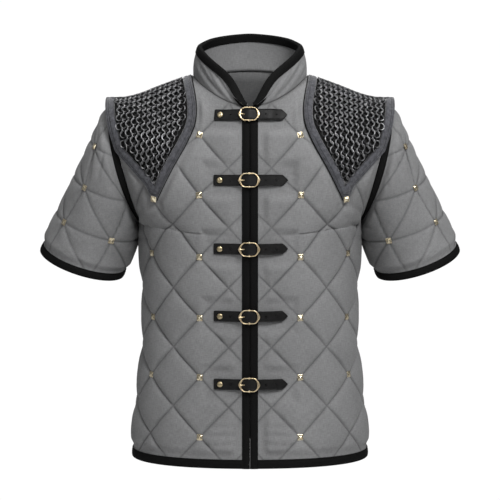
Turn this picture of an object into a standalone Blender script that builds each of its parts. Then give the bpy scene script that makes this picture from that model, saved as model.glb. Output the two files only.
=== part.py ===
"""A gambeson: a short-sleeved quilted jacket with a stand collar, mail shoulder patches and five buckled
straps, in the hollow form it has when worn. Metres, +Z up. The front faces -Y and the wearer's left is +X.
The origin is the middle of the neck opening, level with the sides of the neck."""

import math

import bmesh
import bpy
import numpy as np
from mathutils import Matrix

# ---- Cloth and quilting
SEAM_GAP = 0.0003  # between pieces that a seam joins
CLOTH = 0.003  # both layers and the wadding, pressed flat at a stitch line
PUFF = 0.0075  # how far the wadding rises inside a diamond
PUFF_ROUNDNESS = 0.6
HALF_DIAMOND = 0.0495  # half the width of a diamond, round the body
LEVEL_STEP = 0.0508  # half its height
CELLS = 3  # mesh cells in half a diamond
CELL = HALF_DIAMOND / CELLS
FRONT_COLUMN_SHIFT = 0.0133  # the lattice's column 0 lies this far past the centre front
# Wadding starts this far from an edge, and is full after the second length.
PADDED_SEAM = (0.004, 0.022)
PADDED_HEM = (LEVEL_STEP / CELLS + 0.0005, 0.016)
PADDED_FRONT_EDGE = (2 * CELL - FRONT_COLUMN_SHIFT, 0.014)
PADDED_STRAP = (0.019, 0.018)  # above and below a strap
PADDED_STRAP_END = (0.070, 0.015)  # past its end, from the centre front
PADDED_PATCH = (0.010, 0.018)

# ---- Torso. A level is half a diamond's height: 0 is the neckline and 12 the hem.
HEM_LEVEL = 12
TIP_LEVEL = 1  # the row that ends at the shoulder tip
ARMPIT_LEVEL = 13 / 3
FRONT_TOP_Z = -0.0487
BACK_NECK_RISE = 0.0627
FULLNESS = 0.60  # 0.55 would give each half of the body an elliptical section
CHEST_FULLNESS = 0.54  # the same above the armpits, for the row's start

# level, depth of the centre front, depth of the centre back
TORSO_DEPTH = (
    (0, 0.104, 0.072),
    (1, 0.120, 0.101),
    (2, 0.128, 0.119),
    (3, 0.132, 0.128),
    (4.3, 0.133, 0.130),
    (6, 0.130, 0.124),
    (8, 0.126, 0.118),
    (9.5, 0.128, 0.124),
    (11, 0.133, 0.134),
    (12, 0.136, 0.138),
)
# level, degrees from straight out to straight back at which a front row meets its edge, fall in degrees
ROW_END = (
    (0, 90, 20),
    (0.33, 74, 19),
    (0.67, 58, 16),
    (1, 48, 10),
    (2.6, 52, 0),
    (3.6, 70, 0),
    (4.33, 90, 0),
    (5, 90, 0),
    (12, 90, 0),
)
# level, how far a row of the front dips beside the centre line before it rises to the shoulder
ROW_DIP = ((0, 0), (1, 0.020), (2, 0.012), (3, 0), (12, 0))
# level, x and z of the shoulder ridge
RIDGE = ((0, 0.0985, 0.003), (1 / 3, 0.150, -0.0155), (2 / 3, 0.198, -0.0335), (1, 0.240, -0.042))
# level, half width at the side seam, how far the row has sunk there below the centre front
SIDE_SEAM = (
    (4.33, 0.190, -0.0212),
    (5.0, 0.1895, -0.004),
    (6.2, 0.1865, 0.007),
    (7.2, 0.185, 0.007),
    (8.4, 0.189, 0.005),
    (9.7, 0.1965, 0.004),
    (10.7, 0.2025, 0.003),
    (12, 0.2065, 0.002),
)
ARMHOLE_TOP = (0.240, -0.042)
ARMHOLE_BOTTOM = (0.190, -0.2476)
ARMHOLE_HALF_DEPTH = 0.077
ARMHOLE_BULGE = 0.004

# ---- Sleeves
CUFF_TOP = (0.3660, -0.2985)
CUFF_BOTTOM = (0.2228, -0.3440)
CUFF_HALF_DEPTH = 0.072
CUFF_FRONT_DROP = 0.015  # the arm swings back a little, so the cuff's front edge hangs lower
CUFF_BACK_SHIFT = 0.006
# The run of the cloth: directions at the cuff and at the armhole, and how far each holds, as a share of it.
CUFF_RISE = (-0.35, 0.92)
UPPER_CUFF_LEAN = 0.09
CUFF_HOLD, ARMHOLE_HOLD = 0.33, 0.30
ARMHOLE_SPREAD, UPPER_SPREAD, ROUND_SPREAD, UPPER_LIFT = 0.02, 0.34, 0.25, 0.05
SLEEVE_COLUMNS = 30
SLEEVE_ROW = 0.0235  # mesh rows, measured up from the cuff
HOOP_HEIGHTS = (0.073, 0.144, 0.214)  # stitched hoops, up from the cuff
HOOP_STUD_ANGLES = (43, 54, 42)  # degrees from the sleeve's upper edge to each hoop's first stud
STUDS_ROUND = 5
SLEEVE_PUFF = 0.0055
SLEEVE_PUFF_RUN = 0.030
HOOP_STUD_ENDS = (33, 52)  # where the lines below the first hoop and above the last would end
ABOVE_LAST_HOOP = 0.06

# ---- Collar: metres along the neckline from the centre front, height above the neckline
COLLAR_HEIGHT = (
    (0.0, 0.004),
    (0.008, 0.0065),
    (0.016, 0.0185),
    (0.028, 0.0355),
    (0.043, 0.0460),
    (0.066, 0.0505),
    (0.110, 0.0510),
    (0.150, 0.0510),
    (0.190, 0.0545),
    (0.230, 0.0600),
    (0.30, 0.0630),
)
COLLAR_LEAN = 0.055  # how much narrower the top is than the base
COLLAR_WALL = 0.004
COLLAR_ROWS = 4
COLLAR_FRONT = (0.22, 6)  # share of the half turn with closer columns, and how many it has
COLLAR_COLUMNS = 9  # over the rest

# ---- Bindings
BINDING = 0.0015
FRONT_EDGE = 1.5 * SEAM_GAP + BINDING  # the front's cut edge, from the centre line
FRONT_BINDING_WIDTH = 0.0135
PAST_FRONT_BINDING = 0.0024  # where the hem's and the collar's pieces start, beyond it
HEM_BINDING_WIDTH = 0.0138
COLLAR_BINDING_WIDTH = 0.0125
CUFF_BINDING_WIDTH = 0.0122
PADDED_CUFF = (CUFF_BINDING_WIDTH + 0.001, 0.015)
ARMHOLE_BAND_WIDTHS = (0.0025, 0.0115)  # at the shoulder tip and the armpit, and half way between them
ARMHOLE_BAND_SWELL = 1.8
ARMHOLE_BAND_WALL = 0.004
ARMHOLE_BAND_STATIONS = 24

# ---- Shoulder patches, seen from the front: height, half width of the inner or the outer edge
PATCH_INNER = (
    (-0.2148, 0.161),
    (-0.18, 0.144),
    (-0.149, 0.128),
    (-0.112, 0.107),
    (-0.078, 0.0925),
    (-0.044, 0.0910),
    (0.006, 0.1015),
)
PATCH_OUTER = (
    (-0.2148, 0.161),
    (-0.1805, 0.1746),
    (-0.169, 0.186),
    (-0.133, 0.218),
    (-0.113, 0.2344),
    (-0.092, 0.2413),
    (-0.035, 0.2495),
)
PATCH_TIP_LEVEL = 3.3
PATCH_STATIONS = 12
PATCH_SAMPLES = 60
NEAR_RIDGE = 1.15  # above 1, the patch's rows stand closer together near the shoulder ridge
PATCH_LIFT = 0.0020
MAIL_WALL = 0.0028
MAIL_TIP_CUT = 0.04  # share of the mail's length left clear of the border
MAIL_MARGIN = 0.0012  # metres left clear of it at the sides
MAIL_COLUMNS = 6
VELVET_WALL = 0.0042
VELVET_EDGE = 0.8  # how thick it is at its edges, as a share of its middle
VELVET_WIDTH = 0.0155
WING_LENGTH = 0.014
WING_REACH = 0.55  # share of the patch's length over which its outer edge stands past the armhole
WING_START = 0.75  # share of its width at which it starts to rise
WING_DIRECTION = (0.60, 0.5, 0.30)  # sideways, forwards and up at the shoulder ridge
WING_FALL = 0.4  # how much less up it is at the tip
WING_FORWARD = 3  # how soon past the ridge it points forwards in full
NARROWEST_MAIL = 2.1  # velvet widths: where the patch is narrower, its two borders have met
MOST_BORDER = 0.47  # of the patch's width, for one border

# ---- Closures
STRAP_HEIGHTS = (-0.0640, -0.1718, -0.2866, -0.4008, -0.5169)
STRAP_HALF_HEIGHT = 0.0092
STRAP_THICKNESS = 0.0024
# x from the centre front, underside above the cloth, share of the strap's full height
STRAP_SHAPE = (
    (-0.0610, 0.0007, 1.0),
    (-0.0450, 0.0009, 1.0),
    (-0.0300, 0.0022, 1.0),
    (-0.0205, 0.0036, 1.0),
    (-0.0110, 0.0050, 1.0),
    (-0.0045, 0.0074, 1.0),
    (0.0005, 0.0074, 1.0),
    (0.0070, 0.0058, 1.0),
    (0.0160, 0.0052, 1.0),
    (0.0350, 0.0052, 1.0),
    (0.0450, 0.0030, 1.0),
    (0.0541, 0.0016, 1.0),
    (0.0633, 0.0012, 0.12),
)
CHAPE_SPAN = (-0.0002, 0.0335)
CHAPE_UNDERSIDE = 0.0024
CHAPE_THICKNESS = 0.0020
CHAPE_HALF_HEIGHT = 0.0085
BUCKLE_X = -0.0012
# A quarter of the buckle's frame, from a long side's middle to a pointed end: x, y, half width of the wire
BUCKLE_QUARTER = (
    (0.0, 0.0112, 0.0010),
    (0.0088, 0.0111, 0.0010),
    (0.0124, 0.0084, 0.0011),
    (0.0148, 0.0044, 0.0017),
    (0.0161, 0.0, 0.0028),
)
BUCKLE_HALF_THICKNESS = 0.0013
BUCKLE_SIDES = 5
BUCKLE_HEIGHT = 0.0092  # of the frame's middle above the cloth
CENTRE_BAR_HEIGHT = 0.0055
CENTRE_BAR_RADIUS = 0.0012
KNOB_RADIUS = 0.0015
KNOB_LENGTH = 0.0066  # it joins the centre bar's end to the frame
PRONG_SPAN = (-0.0178, -0.0090)  # what shows of it in front of the strap
PRONG_RADIUS = 0.0011
PRONG_LIFT = 0.0009  # above the frame's middle
RIVET_X = -0.0504
RIVET_RADIUS = 0.005
RIVET_HEIGHT = 0.0022
RIVET_FLAT = 0.6  # share of its radius
RIVET_SIDES = 12
STUD_SIDE = 0.010
STUD_HEIGHT = 0.0035
STUD_FLAT = 0.12  # share of its width
STUD_LIFT = 0.0014
FRONT_STUDS = ((2, 1, 11), (4, 5, 9))

FRONT, BACK = -1, 1
SAMPLES = 81
SEARCH_STEPS = 301
HALVINGS = 12
SETTLING_TURNS = 6  # of the search for the level at a height
LEVEL_PROBE, SHARE_PROBE = 0.05, 0.006  # steps that tell the slope of the cloth
HEIGHT_PROBE, TURN_PROBE = 0.002, 0.03
COLLAR_PROBE = 0.2
EDGE_TOUCH = 0.0001
LEAST_CELL = 0.4  # a narrower share of a step than this joins its neighbour


# ---------------------------------------------------------------- numbers
def ease(value):
    """0 below 0, 1 above 1, and smooth between."""
    value = min(max(value, 0.0), 1.0)
    return value * value * (3 - 2 * value)


def padded(distance, start, run):
    return ease((distance - start) / run)


def read_table(table, column, where):
    """A column of a table, as a smooth curve through its rows, at a value of the first column."""
    keys = [row[0] for row in table]
    values = [row[column] for row in table]
    where = min(max(where, keys[0]), keys[-1])
    n = next((i for i in range(len(keys) - 1) if where <= keys[i + 1]), len(keys) - 2)

    def slope(i):
        low, high = max(i - 1, 0), min(i + 1, len(keys) - 1)
        return (values[high] - values[low]) / (keys[high] - keys[low])

    span = keys[n + 1] - keys[n]
    t = (where - keys[n]) / span
    start, end = slope(n) * span, slope(n + 1) * span
    a = 2 * values[n] - 2 * values[n + 1] + start + end
    b = -3 * values[n] + 3 * values[n + 1] - 2 * start - end
    return ((a * t + b) * t + start) * t + values[n]


def unit(vector):
    return vector / np.linalg.norm(vector)


def bezier(corners, steps):
    """Points on a cubic curve, one row for each value of steps."""
    t = np.asarray(steps)[:, None]
    p0, p1, p2, p3 = corners
    return (1 - t) ** 3 * p0 + 3 * (1 - t) ** 2 * t * p1 + 3 * (1 - t) * t**2 * p2 + t**3 * p3


def lengths_along(points):
    return np.concatenate([[0], np.cumsum(np.linalg.norm(np.diff(points, axis=0), axis=1))])


def at_length(points, lengths, where):
    return np.array([np.interp(where, lengths, points[:, axis]) for axis in range(3)])


# ---------------------------------------------------------------- the body's form
def armhole_point(side, turn):
    """turn is 0 at the shoulder tip and pi at the armpit."""
    top, bottom = np.array(ARMHOLE_TOP), np.array(ARMHOLE_BOTTOM)
    x, z = (top + bottom) / 2 + (top - bottom) / 2 * math.cos(turn)
    across = math.sin(turn)
    return np.array([x + ARMHOLE_BULGE * across, side * ARMHOLE_HALF_DEPTH * across, z])


def front_height(level):
    return FRONT_TOP_Z - LEVEL_STEP * level


def edge_point(side, level):
    """Where a row of the front or the back ends: on the shoulder ridge, the armhole or the side seam."""
    if level <= TIP_LEVEL:
        return np.array([read_table(RIDGE, 1, level), 0, read_table(RIDGE, 2, level)])
    if level <= ARMPIT_LEVEL:
        return armhole_point(side, math.pi * (level - TIP_LEVEL) / (ARMPIT_LEVEL - TIP_LEVEL))
    sunk = read_table(SIDE_SEAM, 2, level)
    return np.array([read_table(SIDE_SEAM, 1, level), 0, front_height(level) - sunk])


rows_made = {}


def torso_row(side, level):
    """A row of the front (side -1) or back (side 1) from the centre line to its edge, and its lengths."""
    key = (side, round(level, 4))
    if key in rows_made:
        return rows_made[key]
    depth = read_table(TORSO_DEPTH, 1 if side == FRONT else 2, level)
    height = front_height(level)
    if side == BACK:
        height += BACK_NECK_RISE * max(0, 1 - level / ARMPIT_LEVEL) ** 2
    turn = math.radians(read_table(ROW_END, 1, level))
    fall = math.radians(read_table(ROW_END, 2, level))
    start = np.array([0, side * depth, height])
    end = edge_point(side, level)
    outwards = np.array([math.cos(fall), 0, -math.sin(fall)])
    direction = math.cos(turn) * outwards + math.sin(turn) * np.array([0, -side, 0])
    reach = FULLNESS * abs(end[1] - start[1]) / math.sin(turn)
    dip = read_table(ROW_DIP, 1, level) if side == FRONT else 0
    fullness = CHEST_FULLNESS if level < ARMPIT_LEVEL else FULLNESS
    first = start + np.array([fullness * end[0], 0, -dip])
    points = bezier((start, first, end - reach * direction, end), np.linspace(0, 1, SAMPLES))
    rows_made[key] = points, lengths_along(points)
    return rows_made[key]


def row_length(side, level):
    return torso_row(side, level)[1][-1]


def torso_point(side, level, share):
    """share runs from 0 at the centre line to 1 at the row's edge."""
    points, lengths = torso_row(side, level)
    return at_length(points, lengths, share * lengths[-1])


def torso_frame(side, level, share):
    """The point there, the direction down the cloth and the direction out of it."""
    above, below = max(level - LEVEL_PROBE, 0), min(level + LEVEL_PROBE, HEM_LEVEL)
    left, right = max(share - SHARE_PROBE, 0), min(share + SHARE_PROBE, 1)
    down = unit(torso_point(side, below, share) - torso_point(side, above, share))
    across = torso_point(side, level, right) - torso_point(side, level, left)
    out = unit(np.cross(across, down)) * side
    if share > 1 - EDGE_TOUCH and not TIP_LEVEL < level < ARMPIT_LEVEL:
        out = unit(out * (1, 0, 1))
    if share < EDGE_TOUCH:
        out = unit(out * (0, 1, 1))
    return torso_point(side, level, share), down, out


# ---------------------------------------------------------------- the patches' outline on the torso
def crossing_length(side, level, outline):
    """How far along a row it meets an outline of half widths at heights; past the edge if it doesn't."""
    points, lengths = torso_row(side, level)
    widths = np.array([read_table(outline, 1, z) for z in points[:, 2]])
    past = np.nonzero(points[:, 0] >= widths)[0]
    if len(past) == 0 or past[0] == 0:
        return lengths[-1]
    n = past[0]
    before, after = points[n - 1, 0] - widths[n - 1], points[n, 0] - widths[n]
    return float(np.interp(0, [before, after], [lengths[n - 1], lengths[n]]))


def under_patch(side, level, length):
    """1 where a shoulder patch covers the cloth, 0 well away from it."""
    if (level - PATCH_TIP_LEVEL) * LEVEL_STEP > sum(PADDED_PATCH):
        return 0.0
    start = crossing_length(side, min(level, PATCH_TIP_LEVEL), PATCH_INNER)
    end = row_length(side, level)
    if level > TIP_LEVEL:
        end = crossing_length(side, min(level, PATCH_TIP_LEVEL), PATCH_OUTER)
    outside = max(start - length, length - end, (level - PATCH_TIP_LEVEL) * LEVEL_STEP, 0)
    return 1 - padded(outside, *PADDED_PATCH)


patch_edges = {}


def patch_edge(side, outline):
    """(share of a row, level) along one edge of the patch from the shoulder ridge to the tip, with the
    share of the edge's own length at each."""
    key = (side, outline)
    if key in patch_edges:
        return patch_edges[key]
    first = TIP_LEVEL
    if outline is PATCH_INNER:
        first = next(level for level in np.linspace(0, 1, SEARCH_STEPS) if meets_ridge(level))
    places = [(1.0, first)]
    for n in range(1, PATCH_SAMPLES + 1):
        level = first + (PATCH_TIP_LEVEL - first) * (n / PATCH_SAMPLES) ** 2
        places.append((crossing_length(side, level, outline) / row_length(side, level), level))
    points = np.array([torso_point(side, level, share) for share, level in places])
    lengths = lengths_along(points)
    patch_edges[key] = np.array(places), lengths / lengths[-1]
    return patch_edges[key]


def meets_ridge(level):
    x, _, z = edge_point(FRONT, level)
    return x >= read_table(PATCH_INNER, 1, z)


def patch_point(side, along, across):
    """A point of the patch and the direction out of it. along runs from the shoulder ridge to the tip,
    across from the inner to the outer edge."""
    ends = []
    for outline in (PATCH_INNER, PATCH_OUTER):
        places, lengths = patch_edge(side, outline)
        ends.append([np.interp(along, lengths, places[:, column]) for column in (0, 1)])
    share, level = (1 - across) * np.array(ends[0]) + across * np.array(ends[1])
    point, _, out = torso_frame(side, level, share)
    wing = max(0.0, 1 - along / WING_REACH) * max(0.0, across - WING_START) / (1 - WING_START)
    sideways, forwards, up = WING_DIRECTION
    forwards *= side * min(1, WING_FORWARD * along)
    lifted = np.array([sideways, forwards, up - WING_FALL * along])
    return point + WING_LENGTH * wing * lifted, out


rims_made = {}


def rim_line(edge):
    """One edge of the patch, from the front tip over the shoulder to the back tip."""
    if edge not in rims_made:
        alongs = np.linspace(0, 1, PATCH_SAMPLES)
        front = [patch_point(FRONT, along, edge)[0] for along in alongs[:0:-1]]
        rims_made[edge] = np.array(front + [patch_point(BACK, along, edge)[0] for along in alongs])
    return rims_made[edge]


def distance_to_line(point, line):
    starts, steps = line[:-1], np.diff(line, axis=0)
    shares = np.clip(((point - starts) * steps).sum(axis=1) / (steps**2).sum(axis=1), 0, 1)
    return np.linalg.norm(point - starts - shares[:, None] * steps, axis=1).min()


def share_inside(side, along, edge, distance):
    """The share of the patch's width that lies within a distance of one edge."""
    low, high = 0.0, MOST_BORDER
    for _ in range(HALVINGS):
        middle = (low + high) / 2
        point = patch_point(side, along, abs(edge - middle))[0]
        if distance_to_line(point, rim_line(edge)) < distance:
            low = middle
        else:
            high = middle
    return high


def patch_width(side, along):
    ends = [patch_point(side, along, across)[0] for across in (0, 1)]
    return np.linalg.norm(ends[1] - ends[0])


# ---------------------------------------------------------------- wadding
def quilt_height(column, level):
    """Stitch lines cross where column + level is odd, and run diagonally between the crossings."""
    shares = ((column + level - 1) / 2 % 1, (column - level - 1) / 2 % 1)
    rises = [4 * share * (1 - share) for share in shares]
    return PUFF * (rises[0] * rises[1]) ** PUFF_ROUNDNESS


def torso_puff(side, level, length):
    """How far the cloth stands out above its stitched form."""
    end = row_length(side, level)
    shift = FRONT_COLUMN_SHIFT if side == FRONT else 0
    height = quilt_height((length + shift) / HALF_DIAMOND, level)
    height *= padded(end - length, *PADDED_SEAM) * padded(level * LEVEL_STEP, *PADDED_SEAM)
    height *= padded((HEM_LEVEL - level) * LEVEL_STEP, *PADDED_HEM)
    height *= 1 - under_patch(side, level, length)
    if side == FRONT:
        height *= padded(length, *PADDED_FRONT_EDGE)
        place = torso_point(side, level, length / end)[2]
        for strap_height in STRAP_HEIGHTS:
            beside = padded(abs(place - strap_height), *PADDED_STRAP)
            height *= max(beside, padded(length, *PADDED_STRAP_END))
    return height


# ---------------------------------------------------------------- meshes
def principled(name, color, roughness, metallic=0.0):
    material = bpy.data.materials.new(name)
    material.use_nodes = True
    shader = material.node_tree.nodes["Principled BSDF"]
    shader.inputs["Base Color"].default_value = (*color, 1)
    shader.inputs["Roughness"].default_value = roughness
    shader.inputs["Metallic"].default_value = metallic
    material.diffuse_color = (*color, 1)
    return material


def add_object(name, points, faces, material, collection, smooth=True):
    mesh = bpy.data.meshes.new(name)
    mesh.from_pydata([tuple(map(float, point)) for point in points], [], faces)
    shaped = bmesh.new()
    shaped.from_mesh(mesh)
    bmesh.ops.recalc_face_normals(shaped, faces=shaped.faces)
    if shaped.calc_volume(signed=True) < 0:
        bmesh.ops.reverse_faces(shaped, faces=shaped.faces)
    shaped.to_mesh(mesh)
    shaped.free()
    if smooth:
        mesh.shade_smooth()
        mesh.set_sharp_from_angle(angle=math.radians(50))
    mesh.materials.append(material)
    made = bpy.data.objects.new(name, mesh)
    collection.objects.link(made)
    return made


def mirrored(points, hand):
    """hand is 1 for the wearer's left and -1 for the right."""
    return np.asarray(points) * (hand, 1, 1)


def zipper(first, second, points):
    """Triangles between two rows of vertex numbers, however many each has."""
    faces = []
    i = j = 0
    while i < len(first) - 1 or j < len(second) - 1:
        if j == len(second) - 1:
            step_first = True
        elif i == len(first) - 1:
            step_first = False
        else:
            near = np.linalg.norm(points[first[i + 1]] - points[second[j]])
            far = np.linalg.norm(points[first[i]] - points[second[j + 1]])
            step_first = near <= far
        if step_first:
            faces.append((first[i], first[i + 1], second[j]))
            i += 1
        else:
            faces.append((first[i], second[j + 1], second[j]))
            j += 1
    return faces


def lattice_cell(upper, lower, column, row):
    """Two triangles of a cell, split along the diagonal that the nearer stitch line follows."""
    half_turn = 2 * CELLS
    along_fall = (column + row + 1 - CELLS) % half_turn
    along_rise = (column - row - CELLS) % half_turn
    a, b = upper[column], upper[column + 1]
    c, d = lower[column], lower[column + 1]
    if min(along_fall, half_turn - along_fall) <= min(along_rise, half_turn - along_rise):
        return [(a, b, c), (b, d, c)]
    return [(a, b, d), (a, d, c)]


def lattice_strips(rows, levels, points):
    """Joins rows of vertices. Each row lists (column, vertex); an edge's own column is None."""
    faces = []
    for level, upper, lower in zip(levels, rows, rows[1:]):
        above = {column: vertex for column, vertex in upper if column is not None}
        below = {column: vertex for column, vertex in lower if column is not None}
        shared = sorted(set(above) & set(below))
        for column in shared[:-1]:
            faces += lattice_cell(above, below, column, level * CELLS)
        for ends in (0, -1):
            tails = []
            for row in (upper, lower):
                at = [column for column, _ in row].index(shared[ends])
                tail = row[: at + 1] if ends == 0 else row[at:]
                tails.append([vertex for _, vertex in tail])
            faces += zipper(tails[0], tails[1], points)
    return faces


def loose_strips(rows, points):
    faces = []
    for upper, lower in zip(rows, rows[1:]):
        faces += zipper([vertex for _, vertex in upper], [vertex for _, vertex in lower], points)
    return faces


def panel_wall(outer_rows, levels, inner_rows):
    """A wall whose outer and plain inner faces have unlike grids. Each row lists (column, point), and
    levels gives the outer rows' places on the lattice."""
    points = []
    numbered = []
    for rows in (outer_rows, inner_rows):
        numbered.append([])
        for row in rows:
            numbered[-1].append([(column, len(points) + n) for n, (column, _) in enumerate(row)])
            points += [point for _, point in row]
    outer, inner = numbered
    faces = lattice_strips(outer, levels, points) + [face[::-1] for face in loose_strips(inner, points)]

    def vertices(row):
        return [vertex for _, vertex in row]

    faces += zipper(vertices(inner[0]), vertices(outer[0]), points)
    faces += zipper(vertices(outer[-1]), vertices(inner[-1]), points)
    faces += zipper([row[0][1] for row in outer], [row[0][1] for row in inner], points)
    faces += zipper([row[-1][1] for row in inner], [row[-1][1] for row in outer], points)
    return points, faces


def grid_wall(outer, inner, closed=False):
    """A wall between two grids of the same size. A closed one joins its last row to its first."""
    outer, inner = np.asarray(outer), np.asarray(inner)
    rows, columns = outer.shape[:2]
    points = np.concatenate([outer.reshape(-1, 3), inner.reshape(-1, 3)])
    offset = rows * columns
    faces = []
    for row in range(rows if closed else rows - 1):
        here, following = row * columns, (row + 1) % rows * columns
        for column in range(columns - 1):
            quad = (here + column, here + column + 1, following + column + 1, following + column)
            faces += [quad, tuple(offset + vertex for vertex in quad[::-1])]
        faces.append((here, following, following + offset, here + offset))
        last = columns - 1
        faces.append((following + last, here + last, here + last + offset, following + last + offset))
    if not closed:
        for row, order in ((0, 1), (rows - 1, -1)):
            for column in range(columns - 1):
                start = row * columns + column
                end_face = (start, start + offset, start + 1 + offset, start + 1)
                faces.append(end_face[::order])
    return points, faces


def swept(sections, closed=False):
    """A bar through sections that all have the same number of corners."""
    sections = np.asarray(sections)
    count, corners = sections.shape[:2]
    faces = []
    for n in range(count if closed else count - 1):
        here, following = n * corners, (n + 1) % count * corners
        for corner in range(corners):
            after = (corner + 1) % corners
            faces.append((here + corner, here + after, following + after, following + corner))
    if not closed:
        faces.append(tuple(range(corners))[::-1])
        faces.append(tuple(range((count - 1) * corners, count * corners)))
    return sections.reshape(-1, 3), faces


def binding_section(width, wall):
    """A folded strip's section round a cut edge: distance in from the edge, height above the cloth."""
    over, under = SEAM_GAP, -(wall + 2 * SEAM_GAP)
    return (
        (width, over),
        (width, over + BINDING),
        (-SEAM_GAP - BINDING, over + BINDING),
        (-SEAM_GAP - BINDING, under - BINDING),
        (width, under - BINDING),
        (width, under),
        (-SEAM_GAP, under),
        (-SEAM_GAP, over),
    )


def bound_edge(frames, width, wall, closed=False):
    """frames lists (edge point, direction into the cloth, direction out of it)."""
    section = binding_section(width, wall)
    sections = [[point + inward * u + out * w for u, w in section] for point, inward, out in frames]
    return swept(sections, closed)


# ---------------------------------------------------------------- torso pieces
def row_columns(side, level, every=1):
    """(column, length) along a row. The front starts at its own edge, and the back at the centre line."""
    end = row_length(side, level)
    columns = []
    if side == FRONT:
        columns.append((1, FRONT_EDGE))
    column = 2 if side == FRONT else 0
    shift = FRONT_COLUMN_SHIFT if side == FRONT else 0
    while column * CELL - shift < end - LEAST_CELL * CELL:
        if column % every == 0:
            columns.append((column, column * CELL - shift))
        column += 1
    columns.append((None, end))
    return columns


def torso_row_points(side, level, surface, every=1):
    """surface is 1 for the quilted face and 0 for the plain inner face."""
    end = row_length(side, level)
    row = []
    for column, length in row_columns(side, level, every):
        point, _, out = torso_frame(side, level, length / end)
        height = torso_puff(side, level, length) if surface else -CLOTH
        moved = point + out * height
        if column is None and not TIP_LEVEL < level < ARMPIT_LEVEL:
            moved[1] = side * SEAM_GAP / 2
        row.append((column, moved))
    if side == BACK:
        half = [(None if column is None else -column, point * (-1, 1, 1)) for column, point in row[1:]]
        row = half[::-1] + row
    return row


def torso_panel(side):
    # Rows are closer together on the shoulder, where the form turns most.
    shoulder = [n / (2 * CELLS) for n in range(2 * CELLS * TIP_LEVEL)]
    below = [n / CELLS for n in range(CELLS * TIP_LEVEL, CELLS * HEM_LEVEL + 1)]
    outer = [torso_row_points(side, level, 1) for level in shoulder + below]
    inner = [torso_row_points(side, level, 0, CELLS) for level in shoulder]
    armpit_row, last = round(ARMPIT_LEVEL * CELLS), CELLS * HEM_LEVEL
    for level in below:
        row = round(level * CELLS)
        if armpit_row < row < last - 1 and (row - armpit_row) % CELLS:
            continue
        every = 1 if row >= last - 1 else CELLS
        inner.append(torso_row_points(side, level, 0, every))
    return panel_wall(outer, shoulder + below, inner)


def front_edge_frames():
    frames = []
    for level in np.linspace(0, HEM_LEVEL, 2 * HEM_LEVEL + 1):
        point, _, out = torso_frame(FRONT, level, FRONT_EDGE / row_length(FRONT, level))
        first_cell = torso_point(FRONT, level, (2 * CELL - FRONT_COLUMN_SHIFT) / row_length(FRONT, level))
        frames.append((point, unit(first_cell - point), unit(out * (0, 1, 1))))
    return frames


def hem_frames(hand):
    """From the centre line of the front to the side seam, on one side."""
    frames = []
    end = row_length(FRONT, HEM_LEVEL)
    lengths = [FRONT_BINDING_WIDTH + PAST_FRONT_BINDING]
    lengths += [length for _, length in row_columns(FRONT, HEM_LEVEL)[2:]]
    for length in lengths:
        point, down, out = torso_frame(FRONT, HEM_LEVEL, length / end)
        frames.append((mirrored(point, hand), mirrored(-down, hand), mirrored(out, hand)))
    return frames


def back_hem_frames():
    frames = []
    end = row_length(BACK, HEM_LEVEL)
    for _, length in row_columns(BACK, HEM_LEVEL)[:-1]:
        point, down, out = torso_frame(BACK, HEM_LEVEL, length / end)
        frames.append((point, -down, out))
    flipped = [tuple(mirrored(vector, -1) for vector in frame) for frame in frames[1:]]
    return frames[::-1] + flipped


# ---------------------------------------------------------------- sleeves
def cuff_point(turn):
    top, bottom = np.array(CUFF_TOP), np.array(CUFF_BOTTOM)
    x, z = (top + bottom) / 2 + (top - bottom) / 2 * math.cos(turn)
    forward = math.sin(turn)
    return np.array([x, CUFF_BACK_SHIFT - CUFF_HALF_DEPTH * forward, z - CUFF_FRONT_DROP * forward])


def sleeve_line(turn):
    """The cloth's run from the cuff up to the armhole. turn goes round from the upper edge by the front."""
    turn = turn % math.tau
    side = FRONT if turn <= math.pi else BACK
    half_turn = turn if turn <= math.pi else math.tau - turn
    outwards = armhole_outwards()
    end = armhole_point(side, half_turn) + outwards * (band_width(half_turn) + 3 * SEAM_GAP)
    start = cuff_point(turn)
    upper = (1 + math.cos(turn)) / 2
    spread = ARMHOLE_SPREAD + UPPER_SPREAD * upper
    leaving = unit(np.array([spread, ROUND_SPREAD * side * math.sin(half_turn), UPPER_LIFT * upper - 1]))
    rising = unit(np.array([CUFF_RISE[0] - UPPER_CUFF_LEAN * upper, 0, CUFF_RISE[1]]))
    reach = np.linalg.norm(end - start)
    corners = (start, start + rising * CUFF_HOLD * reach, end + leaving * ARMHOLE_HOLD * reach, end)
    points = bezier(corners, np.linspace(0, 1, SAMPLES))
    return points, lengths_along(points)


def band_width(half_turn):
    narrow, wide = ARMHOLE_BAND_WIDTHS
    return narrow + (wide - narrow) * math.sin(half_turn) ** ARMHOLE_BAND_SWELL


def armhole_outwards():
    """The direction square to the armhole, away from the body."""
    top, bottom = np.array(ARMHOLE_TOP), np.array(ARMHOLE_BOTTOM)
    along = unit(top - bottom)
    return np.array([along[1], 0, -along[0]])


def sleeve_frame(turn, height):
    """A point at a height up the cloth from the cuff, the way up, and the way out."""
    points, lengths = sleeve_line(turn)
    share = height / lengths[-1]
    point = at_length(points, lengths, height)
    low, high = max(height - HEIGHT_PROBE, 0), min(height + HEIGHT_PROBE, lengths[-1])
    up = unit(at_length(points, lengths, high) - at_length(points, lengths, low))
    beside = []
    for turned in (turn - TURN_PROBE, turn + TURN_PROBE):
        other, along = sleeve_line(turned)
        beside.append(at_length(other, along, share * along[-1]))
    out = unit(np.cross(up, beside[1] - beside[0]))
    return point, up, out


def sleeve_length(turn):
    return sleeve_line(turn)[1][-1]


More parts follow.
